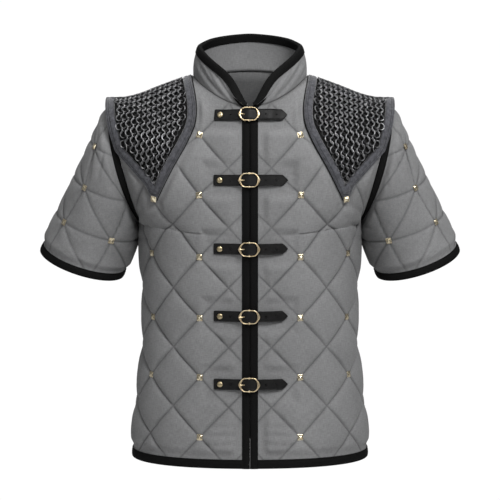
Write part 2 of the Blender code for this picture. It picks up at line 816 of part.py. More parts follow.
def stitch_distance(turn, height):
    """Distance over the cloth from the nearest stitch line of a sleeve."""
    round_metre = cuff_girth() / math.tau
    heights = (0.0, *HOOP_HEIGHTS, HOOP_HEIGHTS[-1] + ABOVE_LAST_HOOP)
    below, above = HOOP_STUD_ENDS
    angles = [math.radians(angle) for angle in (below, *HOOP_STUD_ANGLES, above)]
    pitch = math.tau / STUDS_ROUND
    nearest = min(abs(height - hoop) for hoop in HOOP_HEIGHTS)
    for n in range(len(heights) - 1):
        if not heights[n] <= height <= heights[n + 1]:
            continue
        share = (height - heights[n]) / (heights[n + 1] - heights[n])
        # Each stud sends one line straight down to the next hoop's stud, and one to that stud's neighbour.
        for skip in (0, 1):
            at = angles[n + 1] + (angles[n] + skip * pitch - angles[n + 1]) * (1 - share)
            away = (turn - at + pitch / 2) % pitch - pitch / 2
            slope = (angles[n] + skip * pitch - angles[n + 1]) * round_metre / (heights[n + 1] - heights[n])
            nearest = min(nearest, abs(away) * round_metre / math.hypot(1, slope))
    return nearest


def cuff_girth():
    half_width = np.linalg.norm(np.array(CUFF_TOP) - np.array(CUFF_BOTTOM)) / 2
    return math.tau * math.sqrt((half_width**2 + CUFF_HALF_DEPTH**2) / 2)


def sleeve_puff(turn, height):
    rise = SLEEVE_PUFF * math.sqrt(ease(stitch_distance(turn, height) / SLEEVE_PUFF_RUN))
    rise *= padded(height, *PADDED_CUFF)
    return rise * padded(sleeve_length(turn) - height, *PADDED_SEAM)


def sleeve_column(turn, surface, step):
    """From the cuff up to the armhole: regular heights, then the cut edge."""
    end = sleeve_length(turn)
    heights = [0.0, PADDED_CUFF[0]]
    while heights[-1] + step < end - LEAST_CELL * step:
        heights.append(heights[-1] + step)
    heights.append(end)
    column = []
    for height in heights:
        point, _, out = sleeve_frame(turn, height)
        if height == end:
            outwards = armhole_outwards()
            out = unit(out - np.dot(out, outwards) * outwards)
        column.append(point + out * (sleeve_puff(turn, height) if surface else -CLOTH))
    return column


def sleeve_wall():
    """The tube's columns run up from the cuff. The last joins the first."""
    turns = [math.tau * n / SLEEVE_COLUMNS for n in range(SLEEVE_COLUMNS)]
    points = []
    outer, inner = [], []
    for turn in turns:
        for columns, surface, step in ((outer, 1, SLEEVE_ROW), (inner, 0, 2 * SLEEVE_ROW)):
            column = sleeve_column(turn, surface, step)
            columns.append(range(len(points), len(points) + len(column)))
            points += column
    faces = []
    for n in range(SLEEVE_COLUMNS):
        after = (n + 1) % SLEEVE_COLUMNS
        faces += zipper(outer[n], outer[after], points)
        faces += [face[::-1] for face in zipper(inner[n], inner[after], points)]
        faces.append((outer[n][0], inner[n][0], inner[after][0], outer[after][0]))
        faces.append((outer[n][-1], outer[after][-1], inner[after][-1], inner[n][-1]))
    return points, faces


def cuff_frames():
    frames = []
    for n in range(SLEEVE_COLUMNS):
        point, up, out = sleeve_frame(math.tau * n / SLEEVE_COLUMNS, 0)
        frames.append((point, up, out))
    return frames


def armhole_band():
    """A flat ring on the seam between body and sleeve."""
    outwards = armhole_outwards()
    centre = (armhole_point(FRONT, 0) + armhole_point(FRONT, math.pi)) / 2
    sections = []
    for n in range(ARMHOLE_BAND_STATIONS):
        turn = math.tau * n / ARMHOLE_BAND_STATIONS
        side, half_turn = (FRONT, turn) if turn <= math.pi else (BACK, math.tau - turn)
        edge = armhole_point(side, half_turn)
        inward = unit(centre - edge) * ARMHOLE_BAND_WALL
        near, far = outwards * 2 * SEAM_GAP, outwards * (band_width(half_turn) + 2 * SEAM_GAP)
        sections.append([edge + near, edge + far, edge + far + inward, edge + near + inward])
    return swept(sections, closed=True)


# ---------------------------------------------------------------- collar
def neckline(share):
    """The neckline's point and its length from the centre front, for a share of the half turn to the back."""
    front, back = row_length(FRONT, 0), row_length(BACK, 0)
    length = share * (front + back)
    if length <= front:
        return torso_point(FRONT, 0, length / front), length
    return torso_point(BACK, 0, (front + back - length) / back), length


def collar_shares():
    front, back = row_length(FRONT, 0), row_length(BACK, 0)
    start = (FRONT_BINDING_WIDTH + PAST_FRONT_BINDING) / (front + back)
    close, count = COLLAR_FRONT
    return np.concatenate([np.linspace(start, close, count), np.linspace(close, 1, COLLAR_COLUMNS)[1:]])


def collar_point(share, rise, depth):
    """rise runs from 0 at the neckline to 1 at the top edge, depth from 0 outside to 1 inside."""
    base, length = neckline(share)
    height = read_table(COLLAR_HEIGHT, 1, length)
    lean = 1 - COLLAR_LEAN * rise * height / COLLAR_HEIGHT[-1][1]
    point = base * (lean, lean, 1) + (0, 0, 2 * SEAM_GAP + rise * (height - 2 * SEAM_GAP))
    flat = unit(point * (1, 1, 0))
    return point - flat * COLLAR_WALL * depth


def round_neck(make):
    """A list of make(share, hand) from the right end of the collar round the back to the left end."""
    shares = collar_shares()
    right = [make(share, -1) for share in shares]
    left = [make(share, 1) for share in shares[:-1]]
    return right + left[::-1]


def collar_wall():
    rises = np.linspace(0, 1, COLLAR_ROWS)

    def column(depth):
        def at(share, hand):
            return [mirrored(collar_point(share, rise, depth), hand) for rise in rises]

        return at

    return grid_wall(round_neck(column(0)), round_neck(column(1)))


def collar_edge_frames():
    def frame(share, hand):
        top = collar_point(share, 1, 0)
        inward = unit(collar_point(share, 1 - COLLAR_PROBE, 0) - top)
        out = unit(top * (1, 1, 0))
        return mirrored(top, hand), mirrored(inward, hand), mirrored(out, hand)

    return round_neck(frame)


# ---------------------------------------------------------------- shoulder patches
def mail_reach():
    """The share of the patch's length at which its two borders meet."""
    narrowest = NARROWEST_MAIL * VELVET_WIDTH
    return next(along for along in np.linspace(0, 1, SEARCH_STEPS) if patch_width(FRONT, along) < narrowest)


def over_shoulder():
    """(side, along) from the front tip over the ridge to the back tip, closer together near the ridge."""
    alongs = [(n / PATCH_STATIONS) ** NEAR_RIDGE for n in range(PATCH_STATIONS + 1)]
    front = [(FRONT, along) for along in alongs[:0:-1]]
    back = [(BACK, along) for along in alongs]
    return front + back


def mail_row(side, along):
    """(point, direction out) from the mail's inner to its outer edge, each parallel to the border's."""
    first = share_inside(side, along, 0, VELVET_WIDTH + MAIL_MARGIN)
    last = 1 - share_inside(side, along, 1, VELVET_WIDTH + MAIL_MARGIN)
    row = [patch_point(side, along, across) for across in np.linspace(first, last, MAIL_COLUMNS)]
    for place, edge in ((0, 0), (-1, 1)):
        border = abs(edge - share_inside(side, along, edge, VELVET_WIDTH))
        row[place] = row[place][0], patch_point(side, along, border)[1]
    return row


def mail_wall():
    reach = mail_reach()
    rows = [[], []]
    for side, along in over_shoulder():
        row = mail_row(side, min(along, 1 - MAIL_TIP_CUT) * reach)
        for layer, height in enumerate((PATCH_LIFT + MAIL_WALL, PATCH_LIFT)):
            rows[layer].append([point + out * height for point, out in row])
    return grid_wall(rows[0], rows[1])


def velvet_wall():
    """The border goes down the inner edge in front, round the tip, and back by the outer edge, on each side."""
    reach = mail_reach()
    outer, inner = [], []
    inner_edge = [(side, along, 0) for side, along in over_shoulder()]
    outer_edge = [(side, along, 1) for side, along in over_shoulder()[1:-1]]
    for side, along, edge in inner_edge + outer_edge[::-1]:
        share = share_inside(side, along * reach, edge, VELVET_WIDTH)
        mail_edge, mail_out = patch_point(side, along * reach, abs(edge - share))
        rim, rim_out = patch_point(side, along, edge)
        if along == 1:
            mail_edge, mail_out = patch_point(side, reach, 0.5)
        middle, middle_out = (rim + mail_edge) / 2, unit(rim_out + mail_out)
        ends = (rim, rim_out, VELVET_EDGE), (mail_edge, mail_out, VELVET_EDGE)
        stations = (ends[0], (middle, middle_out, 1.0), ends[1])
        outer.append([point + out * (PATCH_LIFT + VELVET_WALL * full) for point, out, full in stations])
        inner.append([point + out * PATCH_LIFT for point, out, _ in stations])
    return grid_wall(outer, inner, closed=True)


# ---------------------------------------------------------------- closures
def front_frame(x, height):
    """The cloth's stitched form near the centre front, on either side of it."""
    level = (FRONT_TOP_Z - height) / LEVEL_STEP
    for _ in range(SETTLING_TURNS):
        found = torso_point(FRONT, max(level, 0), abs(x) / row_length(FRONT, max(level, 0)))
        level += (found[2] - height) / LEVEL_STEP
    level = max(level, 0)
    point, down, out = torso_frame(FRONT, level, abs(x) / row_length(FRONT, level))
    hand = 1 if x >= 0 else -1
    return mirrored(point, hand), mirrored(down, hand), mirrored(out, hand)


def plate(height, shape, half_height, thickness):
    """A strip along the front. shape lists (x, underside above the cloth, share of the half height)."""
    outer, inner = [], []
    for x, underside, share in shape:
        rows = [[], []]
        for end in (1, -1):
            point, _, out = front_frame(x, height + end * half_height * share)
            rows[0].append(point + out * (underside + thickness))
            rows[1].append(point + out * underside)
        outer.append(rows[0])
        inner.append(rows[1])
    return grid_wall(outer, inner)


def placement(x, height, above):
    """A matrix whose Z points out of the front, and Y up along it, at a height above the cloth."""
    point, down, out = front_frame(x, height)
    right = unit(np.cross(-down, out))
    up = np.cross(out, right)
    matrix = Matrix.Identity(4)
    for row in range(3):
        matrix[row][0], matrix[row][1], matrix[row][2] = right[row], up[row], out[row]
        matrix[row][3] = point[row] + out[row] * above
    return matrix


def primitive(make, *placing, **sizes):
    """A mesh from one of bmesh's primitives, moved by the matrices in placing."""
    shaped = bmesh.new()
    make(shaped, **sizes)
    for matrix in placing:
        bmesh.ops.transform(shaped, matrix=matrix, verts=shaped.verts)
    mesh = bpy.data.meshes.new("primitive")
    shaped.to_mesh(mesh)
    shaped.free()
    return mesh


def buckle_outline():
    """(x, y, half width of the wire) all round the frame."""
    quarter = list(BUCKLE_QUARTER)
    half = quarter + [(x, -y, wire) for x, y, wire in quarter[-2::-1]]
    return half + [(-x, y, wire) for x, y, wire in half[-2:0:-1]]


def buckle_frame():
    outline = buckle_outline()
    sections = []
    for x, y, wire in outline:
        away = unit(np.array([x / BUCKLE_QUARTER[-1][0], y / BUCKLE_QUARTER[0][1], 0]))
        corners = []
        for corner in range(BUCKLE_SIDES):
            angle = math.tau * corner / BUCKLE_SIDES
            up = np.array([0, 0, BUCKLE_HALF_THICKNESS * math.sin(angle)])
            corners.append(np.array([x, y, 0]) + away * wire * math.cos(angle) + up)
        sections.append(corners)
    return swept(sections, closed=True)


def rod(radius, length, *placing, segments=6):
    """A round bar along Z, moved by the matrices in placing."""
    return primitive(
        bmesh.ops.create_cone,
        *placing,
        cap_ends=True,
        segments=segments,
        radius1=radius,
        radius2=radius,
        depth=length,
    )


def buckle_mesh(cutters):
    """A frame with pointed ends, the bar across its middle with a knob at each end, and the prong's tip."""
    points, faces = buckle_frame()
    frame = add_object("buckle_frame", points, faces, brass, cutters)
    half_height = BUCKLE_QUARTER[0][1]
    drop = CENTRE_BAR_HEIGHT - BUCKLE_HEIGHT
    upright = Matrix.Rotation(math.pi / 2, 4, "X")
    sideways = Matrix.Rotation(math.pi / 2, 4, "Y")
    bar_length = 2 * (half_height + CENTRE_BAR_RADIUS)
    parts = [rod(CENTRE_BAR_RADIUS, bar_length, upright, Matrix.Translation((0, 0, drop)))]
    for end in (1, -1):
        parts.append(rod(KNOB_RADIUS, KNOB_LENGTH, Matrix.Translation((0, end * half_height, drop / 2))))
    first, last = PRONG_SPAN
    prong = Matrix.Translation(((first + last) / 2, 0, PRONG_LIFT))
    parts.append(rod(PRONG_RADIUS, last - first, sideways, prong))
    for number, mesh in enumerate(parts):
        piece = bpy.data.objects.new(f"buckle_part_{number}", mesh)
        cutters.objects.link(piece)
        join = frame.modifiers.new(f"join_{number}", "BOOLEAN")
        join.operation = "UNION"
        join.object = piece
    bpy.context.view_layer.update()
    graph = bpy.context.evaluated_depsgraph_get()
    return bpy.data.meshes.new_from_object(frame.evaluated_get(graph))


def stud_mesh():
    """A square pyramid with a small flat top."""
    turned = Matrix.Rotation(math.pi / 4, 4, "Z")
    raised = Matrix.Translation((0, 0, STUD_HEIGHT / 2))
    radius = STUD_SIDE / math.sqrt(2)
    return primitive(
        bmesh.ops.create_cone,
        turned,
        raised,
        cap_ends=True,
        segments=4,
        radius1=radius,
        radius2=STUD_FLAT * radius,
        depth=STUD_HEIGHT,
    )


def rivet_mesh():
    return primitive(
        bmesh.ops.create_cone,
        Matrix.Translation((0, 0, RIVET_HEIGHT / 2)),
        cap_ends=True,
        segments=RIVET_SIDES,
        radius1=RIVET_RADIUS,
        radius2=RIVET_FLAT * RIVET_RADIUS,
        depth=RIVET_HEIGHT,
    )


def place_copy(name, mesh, matrix, collection):
    made = bpy.data.objects.new(name, mesh)
    made.matrix_world = matrix
    collection.objects.link(made)
    return made


def hide_helpers(cutters):
    for helper in cutters.objects:
        helper.hide_render = True
        helper.display_type = "WIRE"
    cutters.hide_render = True


# ---------------------------------------------------------------- assembly
def add_cloth(collection):
    hands = (("left", 1), ("right", -1))
    for word, hand in hands:
        points, faces = torso_panel(FRONT)
        add_object(f"front_{word}", mirrored(points, hand), faces, cloth, collection)
        points, faces = sleeve_wall()
        add_object(f"sleeve_{word}", mirrored(points, hand), faces, cloth, collection)
    points, faces = torso_panel(BACK)
    add_object("back_panel", points, faces, cloth, collection)
    points, faces = collar_wall()
    add_object("collar", points, faces, cloth, collection)


def add_bindings(collection):
    for word, hand in (("left", 1), ("right", -1)):
        points, faces = bound_edge(front_edge_frames(), FRONT_BINDING_WIDTH - FRONT_EDGE, CLOTH)
        add_object(f"front_edge_binding_{word}", mirrored(points, hand), faces, tape, collection)
        points, faces = bound_edge(cuff_frames(), CUFF_BINDING_WIDTH, CLOTH, closed=True)
        add_object(f"cuff_binding_{word}", mirrored(points, hand), faces, tape, collection)
        points, faces = armhole_band()
        add_object(f"armhole_binding_{word}", mirrored(points, hand), faces, tape, collection)
    frames = hem_frames(1) + back_hem_frames() + hem_frames(-1)[::-1]
    points, faces = bound_edge(frames, HEM_BINDING_WIDTH, CLOTH)
    add_object("hem_binding", points, faces, tape, collection)
    points, faces = bound_edge(collar_edge_frames(), COLLAR_BINDING_WIDTH, COLLAR_WALL)
    add_object("collar_binding", points, faces, tape, collection)


def add_patches(collection):
    for word, hand in (("left", 1), ("right", -1)):
        points, faces = mail_wall()
        add_object(f"mail_patch_{word}", mirrored(points, hand), faces, mail, collection)
        points, faces = velvet_wall()
        add_object(f"patch_border_{word}", mirrored(points, hand), faces, velvet, collection)


def add_closures(collection, cutters):
    buckle = buckle_mesh(cutters)
    rivet = rivet_mesh()
    rivet.materials.append(brass)
    chape_shape = [(x, CHAPE_UNDERSIDE, 1.0) for x in np.linspace(*CHAPE_SPAN, 4)]
    for number, height in enumerate(STRAP_HEIGHTS, 1):
        points, faces = plate(height, STRAP_SHAPE, STRAP_HALF_HEIGHT, STRAP_THICKNESS)
        add_object(f"strap_{number}", points, faces, leather, collection)
        points, faces = plate(height, chape_shape, CHAPE_HALF_HEIGHT, CHAPE_THICKNESS)
        add_object(f"chape_{number}", points, faces, leather, collection)
        place_copy(f"buckle_{number}", buckle, placement(BUCKLE_X, height, BUCKLE_HEIGHT), collection)
        above = STRAP_SHAPE[1][1] + STRAP_THICKNESS + 2 * SEAM_GAP
        place_copy(f"rivet_{number}", rivet, placement(RIVET_X, height, above), collection)


def add_studs(collection):
    """Studs on the fronts' stitch crossings: (column, first level, last level), on every second level."""
    mesh = stud_mesh()
    mesh.materials.append(gilt)
    for word, hand in (("left", 1), ("right", -1)):
        number = 0
        for column, first, last in FRONT_STUDS:
            for level in range(first, last + 1, 2):
                number += 1
                x = column * HALF_DIAMOND - FRONT_COLUMN_SHIFT
                point, down, out = torso_frame(FRONT, level, x / row_length(FRONT, level))
                point, down, out = (mirrored(vector, hand) for vector in (point, down, out))
                right = unit(np.cross(-down, out))
                up = np.cross(out, right)
                matrix = Matrix.Identity(4)
                for row in range(3):
                    matrix[row][0], matrix[row][1], matrix[row][2] = right[row], up[row], out[row]
                    matrix[row][3] = point[row] + out[row] * STUD_LIFT
                place_copy(f"stud_{word}_{number}", mesh, matrix, collection)


for existing in list(bpy.data.objects):
    bpy.data.objects.remove(existing)
gambeson = bpy.data.collections.new("gambeson")
helpers = bpy.data.collections.new("cutters")
for group in (gambeson, helpers):
    bpy.context.scene.collection.children.link(group)

cloth = principled("quilted_cloth", (0.22, 0.22, 0.225), 0.9)
tape = principled("binding_tape", (0.012, 0.012, 0.013), 0.85)
mail = principled("mail_mesh", (0.10, 0.10, 0.105), 0.4, 0.8)
velvet = principled("velvet_border", (0.11, 0.11, 0.13), 0.95)
leather = principled("strap_leather", (0.02, 0.019, 0.018), 0.5)
brass = principled("buckle_brass", (0.62, 0.42, 0.18), 0.3, 1.0)
gilt = principled("stud_gilt", (0.75, 0.66, 0.48), 0.3, 1.0)

add_cloth(gambeson)
add_bindings(gambeson)
add_patches(gambeson)
add_closures(gambeson, helpers)
add_studs(gambeson)
hide_helpers(helpers)
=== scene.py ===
"""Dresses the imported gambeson: finely quilted cloth, linked mail, velvet borders, rounded bindings, leather
straps with brass buckles, and studs. It stands in a pale studio, seen from the front and slightly above.
Metres, +Z up. The front faces -Y and the wearer's left is +X."""

import math
from functools import cache

import bmesh
import bpy
import numpy as np
from mathutils import Matrix, Vector, noise


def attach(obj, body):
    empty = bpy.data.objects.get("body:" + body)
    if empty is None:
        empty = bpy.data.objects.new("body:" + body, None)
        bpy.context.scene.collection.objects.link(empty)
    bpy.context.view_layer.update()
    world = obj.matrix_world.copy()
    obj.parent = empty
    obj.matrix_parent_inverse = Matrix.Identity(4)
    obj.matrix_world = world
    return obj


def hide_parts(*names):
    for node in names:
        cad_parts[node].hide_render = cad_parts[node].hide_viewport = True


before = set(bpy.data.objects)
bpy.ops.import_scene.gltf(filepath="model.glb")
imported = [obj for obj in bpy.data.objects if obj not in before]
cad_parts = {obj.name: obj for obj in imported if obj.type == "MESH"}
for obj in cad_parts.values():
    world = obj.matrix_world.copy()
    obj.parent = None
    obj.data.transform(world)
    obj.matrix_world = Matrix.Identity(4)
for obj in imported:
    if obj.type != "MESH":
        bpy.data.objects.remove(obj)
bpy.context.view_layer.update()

# ---- Cloth and quilting
SEAM_GAP = 0.0003  # between pieces that a seam joins
CLOTH = 0.003  # both layers and the wadding, pressed flat at a stitch line
PUFF = 0.0075  # how far the wadding rises inside a diamond
HALF_DIAMOND = 0.0495  # half the width of a diamond, round the body
LEVEL_STEP = 0.0508  # half its height
CELLS = 3  # mesh cells in half a diamond
CELL = HALF_DIAMOND / CELLS
FRONT_COLUMN_SHIFT = 0.0133  # the lattice's column 0 lies this far past the centre front
# Wadding starts this far from an edge, and is full after the second length.
PADDED_SEAM = (0.004, 0.022)
PADDED_HEM = (LEVEL_STEP / CELLS + 0.0005, 0.016)
PADDED_FRONT_EDGE = (2 * CELL - FRONT_COLUMN_SHIFT, 0.014)
PADDED_STRAP = (0.019, 0.018)  # above and below a strap
PADDED_STRAP_END = (0.070, 0.015)  # past its end, from the centre front
PADDED_PATCH = (0.003, 0.014)  # outside a shoulder patch

# ---- Torso. A level is half a diamond's height: 0 is the neckline and 12 the hem.
HEM_LEVEL = 12
TIP_LEVEL = 1  # the row that ends at the shoulder tip
ARMPIT_LEVEL = 13 / 3
FRONT_TOP_Z = -0.0487
BACK_NECK_RISE = 0.0627
FULLNESS = 0.60  # 0.55 would give each half of the body an elliptical section
CHEST_FULLNESS = 0.54  # the same above the armpits, for the row's start

# level, depth of the centre front, depth of the centre back
TORSO_DEPTH = (
    (0, 0.104, 0.072),
    (1, 0.120, 0.101),
    (2, 0.128, 0.119),
    (3, 0.132, 0.128),
    (4.3, 0.133, 0.130),
    (6, 0.130, 0.124),
    (8, 0.126, 0.118),
    (9.5, 0.128, 0.124),
    (11, 0.133, 0.134),
    (12, 0.136, 0.138),
)
# level, degrees from straight out to straight back at which a row of the front meets its edge,
# fall in degrees
ROW_END = (
    (0, 90, 20),
    (0.33, 74, 19),
    (0.67, 58, 16),
    (1, 48, 10),
    (2.6, 52, 0),
    (3.6, 70, 0),
    (4.33, 90, 0),
    (5, 90, 0),
    (12, 90, 0),
)
# level, how far a row of the front dips beside the centre line before it rises to the shoulder
ROW_DIP = ((0, 0), (1, 0.020), (2, 0.012), (3, 0), (12, 0))
# level, x and z of the shoulder ridge
RIDGE = ((0, 0.0985, 0.003), (1 / 3, 0.150, -0.0155), (2 / 3, 0.198, -0.0335), (1, 0.240, -0.042))
# level, half width at the side seam, how far the row has sunk there below the centre front
SIDE_SEAM = (
    (4.33, 0.190, -0.0212),
    (5.0, 0.1895, -0.004),
    (6.2, 0.1865, 0.007),
    (7.2, 0.185, 0.007),
    (8.4, 0.189, 0.005),
    (9.7, 0.1965, 0.004),
    (10.7, 0.2025, 0.003),
    (12, 0.2065, 0.002),
)
ARMHOLE_TOP = (0.240, -0.042)
ARMHOLE_BOTTOM = (0.190, -0.2476)
ARMHOLE_HALF_DEPTH = 0.077
ARMHOLE_BULGE = 0.004

# ---- Sleeves
CUFF_TOP = (0.3660, -0.2985)
CUFF_BOTTOM = (0.2228, -0.3440)
CUFF_HALF_DEPTH = 0.072
CUFF_FRONT_DROP = 0.015  # the arm swings back a little, so the cuff's front edge hangs lower
CUFF_BACK_SHIFT = 0.006
# The run of the cloth: directions at the cuff and at the armhole, and how far each holds, as a share
# of the run.
CUFF_RISE = (-0.35, 0.92)
UPPER_CUFF_LEAN = 0.09
CUFF_HOLD, ARMHOLE_HOLD = 0.33, 0.30
ARMHOLE_SPREAD, UPPER_SPREAD, ROUND_SPREAD, UPPER_LIFT = 0.02, 0.34, 0.25, 0.05
HOOP_HEIGHTS = (0.073, 0.144, 0.214)  # stitched hoops, up from the cuff
HOOP_STUD_ANGLES = (43, 54, 42)  # degrees from the sleeve's upper edge to each hoop's first stud
STUDS_ROUND = 5
SLEEVE_PUFF_RUN = 0.030  # how far from a stitch line its wadding is full
SLEEVE_LIFT = 0.004  # how far a sleeve's stitch lines stand out, away from its edges
HOOP_STUD_ENDS = (33, 52)  # the same where the crossing lines start at the cuff and end above the last hoop
ABOVE_LAST_HOOP = 0.06

# ---- Collar: metres along the neckline from the centre front, height above the neckline
COLLAR_HEIGHT = (
    (0.0, 0.004),
    (0.008, 0.0065),
    (0.016, 0.0185),
    (0.028, 0.0355),
    (0.043, 0.0460),
    (0.066, 0.0505),
    (0.110, 0.0510),
    (0.150, 0.0510),
    (0.190, 0.0545),
    (0.230, 0.0600),
    (0.30, 0.0630),
)
COLLAR_LEAN = 0.055  # how much narrower the top is than the base
COLLAR_WALL = 0.004

# ---- Bindings
BINDING = 0.0015  # thickness
# Its outer face: how far in from the cloth's edge, as a share of its width and metres to add, and
# height as a share of its thickness
BINDING_FACE = (
    (1, 0, 0.2),
    (1, -0.0003, 0.8),
    (1, -0.0012, 1.05),
    (1, -0.0022, 0.72),
    (1, -0.0034, 1.10),
    (0.6, 0, 1.35),
    (0.3, 0, 1.35),
    (0, 0.0008, 1.10),
    (0, -0.7 * SEAM_GAP - 0.5 * BINDING, 0.75),
    (0, -0.9 * (SEAM_GAP + BINDING), 0.15),
)
FOLD_REACH = 1.05  # how far out its fold lies, as a share of the gap and its thickness
FRONT_EDGE = 1.5 * SEAM_GAP + BINDING  # the front's cut edge, from the centre line
FRONT_BINDING_WIDTH = 0.0135
HEM_BINDING_WIDTH = 0.0138
COLLAR_BINDING_WIDTH = 0.0125
CUFF_BINDING_WIDTH = 0.0122
PADDED_CUFF = (CUFF_BINDING_WIDTH + 0.001, 0.015)
ARMHOLE_BAND_WIDTHS = (0.0025, 0.0115)  # at the shoulder tip and the armpit, and half way between them
ARMHOLE_BAND_SWELL = 1.8
ARMHOLE_BAND_WALL = 0.004

# ---- Shoulder patches, seen from the front: height, half width of the inner or the outer edge
PATCH_INNER = (
    (-0.2148, 0.161),
    (-0.18, 0.144),
    (-0.149, 0.128),
    (-0.112, 0.107),
    (-0.078, 0.0925),
    (-0.044, 0.0910),
    (0.006, 0.1015),
)
PATCH_OUTER = (
    (-0.2148, 0.161),
    (-0.1805, 0.1746),
    (-0.169, 0.186),
    (-0.133, 0.218),
    (-0.113, 0.2344),
    (-0.092, 0.2413),
    (-0.035, 0.2495),
)
PATCH_TIP_LEVEL = 3.3
PATCH_SAMPLES = 60
MAIL_TIP_CUT = 0.04  # share of the mail's length that its backing leaves out at each tip
VELVET_WIDTH = 0.0155
WING_LENGTH = 0.014
# share of the patch's length, how far its outer edge stands past the armhole there, as a share of the most
WING_FADE = (
    (0, 1),
    (0.1, 0.97),
    (0.2, 0.95),
    (0.3, 0.92),
    (0.4, 0.8),
    (0.5, 0.45),
    (0.6, 0.15),
    (0.7, 0),
    (1, 0),
)
WING_START = 0.75  # share of its width at which it starts to rise
WING_DIRECTION = (0.60, 0.5, 0.30)  # sideways, forwards and up at the shoulder ridge
WING_FALL = 0.4  # how much less up it is at the tip
WING_FORWARD = 3  # how soon past the ridge it points forwards in full
NARROWEST_MAIL = 2.1  # velvet widths: where the patch is narrower, its two borders have met
MOST_BORDER = 0.47  # of the patch's width, for one border

# ---- Closures
STRAP_HEIGHTS = (-0.0640, -0.1718, -0.2866, -0.4008, -0.5169)
STRAP_HALF_HEIGHT = 0.0092
STRAP_THICKNESS = 0.0024
# x from the centre front, underside above the cloth, share of the strap's full height
STRAP_SHAPE = (
    (-0.0610, 0.0007, 1.0),
    (-0.0450, 0.0009, 1.0),
    (-0.0300, 0.0022, 1.0),
    (-0.0205, 0.0036, 1.0),
    (-0.0110, 0.0050, 1.0),
    (-0.0045, 0.0074, 1.0),
    (0.0005, 0.0074, 1.0),
    (0.0070, 0.0058, 1.0),
    (0.0160, 0.0052, 1.0),
    (0.0350, 0.0052, 1.0),
    (0.0450, 0.0030, 1.0),
    (0.0541, 0.0016, 1.0),
    (0.0633, 0.0012, 0.12),
)
BUCKLE_X = -0.0012
# A quarter of the buckle's frame, from the middle of its long side to its pointed end:
# x, y, half width of the wire
BUCKLE_QUARTER = (
    (0.0, 0.0112, 0.0010),
    (0.0088, 0.0111, 0.0010),
    (0.0124, 0.0084, 0.0011),
    (0.0148, 0.0044, 0.0017),
    (0.0161, 0.0, 0.0028),
)
BUCKLE_HALF_THICKNESS = 0.0013
BUCKLE_HEIGHT = 0.0092  # of the frame's middle above the cloth
CENTRE_BAR_HEIGHT = 0.0055
CENTRE_BAR_RADIUS = 0.0012
RIVET_X = -0.0504
STUD_LIFT = 0.0014

# ---- How the forms are worked out
FRONT, BACK = -1, 1
SAMPLES = 241  # points on a row of the torso, and on a line up the sleeve
LEVEL_PROBE, SHARE_PROBE = 0.05, 0.006  # steps to both sides that give a direction on the torso
HEIGHT_PROBE, TURN_PROBE = 0.002, 0.03  # the same on a sleeve
PATCH_PROBE, COLLAR_PROBE = 0.03, 0.2  # share of a patch's length, of the collar's height
AT_EDGE = 0.0001  # share of a row that counts as its very end
# Steps in which these are looked for: where a patch meets the shoulder ridge, how far its mail reaches,
# a distance across it, and the level of a point on the front
RIDGE_STEPS, REACH_STEPS, HALVINGS, LEVEL_TRIES = 400, 200, 12, 6

# ---- Finer forms, for the surface that shows
FINE = 20  # mesh cells in half a diamond
INNER_STEP = 5  # of those cells, on the plain inner face
ROOM = 0.4  # least share of a cell between the last column and an edge
LINE_SPACING = 2 / math.hypot(1 / HALF_DIAMOND, 1 / LEVEL_STEP)  # between parallel stitch lines
CREASE_SHARE = 0.46  # of the wadding's rise, taken close to the stitch line
CREASE_WIDTH = 0.0022
CROWN_POWER = 2.4  # how broad and flat the rest of the rise is
# A crease's trough and the ridges beside it, as shares of its depth, and how much wider the ridges are
TROUGH, RIDGES, RIDGES_SPREAD = 1.3, 0.8, 5
CREASE_FADE, CREASE_END = 0.3, 0.25  # share of its length over which it deepens, what its ends start from
SEAM_SHADE = 0.0016  # how far from a stitch line its painted shade reaches, with the darker pressed cloth
# Uneven cloth: size of the swells and how far they rise
UNEVEN = ((0.060, 0.0011), (0.022, 0.0005), (0.009, 0.00015))
# Creases on each front and on the back: length along the cloth from the centre and height of both ends,
# half width, depth
FRONT_CREASES = (
    (0.016, -0.5880, 0.075, -0.5900, 0.0040, 0.0012),
    (0.016, -0.6030, 0.085, -0.6050, 0.0040, 0.0014),
    (0.016, -0.6180, 0.080, -0.6230, 0.0040, 0.0014),
    (0.016, -0.6330, 0.060, -0.6370, 0.0035, 0.0010),
    (0.022, -0.0500, 0.058, -0.0400, 0.0030, 0.0012),
    (0.024, -0.0545, 0.070, -0.0530, 0.0030, 0.0010),
    (0.060, -0.1600, 0.082, -0.1660, 0.0025, 0.0009),
    (0.058, -0.1830, 0.078, -0.1900, 0.0025, 0.0008),
    (0.060, -0.2740, 0.080, -0.2790, 0.0025, 0.0009),
    (0.060, -0.3880, 0.080, -0.3930, 0.0025, 0.0009),
    (0.060, -0.5050, 0.080, -0.5100, 0.0025, 0.0009),
    (0.235, -0.2450, 0.180, -0.2150, 0.0050, 0.0022),
    (0.238, -0.2600, 0.175, -0.2440, 0.0055, 0.0022),
    (0.240, -0.2750, 0.190, -0.2760, 0.0050, 0.0018),
    (0.225, -0.2250, 0.196, -0.1900, 0.0045, 0.0018),
)
BACK_CREASES = (
    (0.235, -0.2450, 0.165, -0.2100, 0.0060, 0.0022),
    (0.238, -0.2620, 0.160, -0.2420, 0.0060, 0.0022),
    (0.240, -0.2780, 0.185, -0.2800, 0.0050, 0.0018),
    (0.000, -0.0600, 0.070, -0.0750, 0.0050, 0.0012),
    (0.000, -0.0900, 0.090, -0.1100, 0.0060, 0.0012),
)
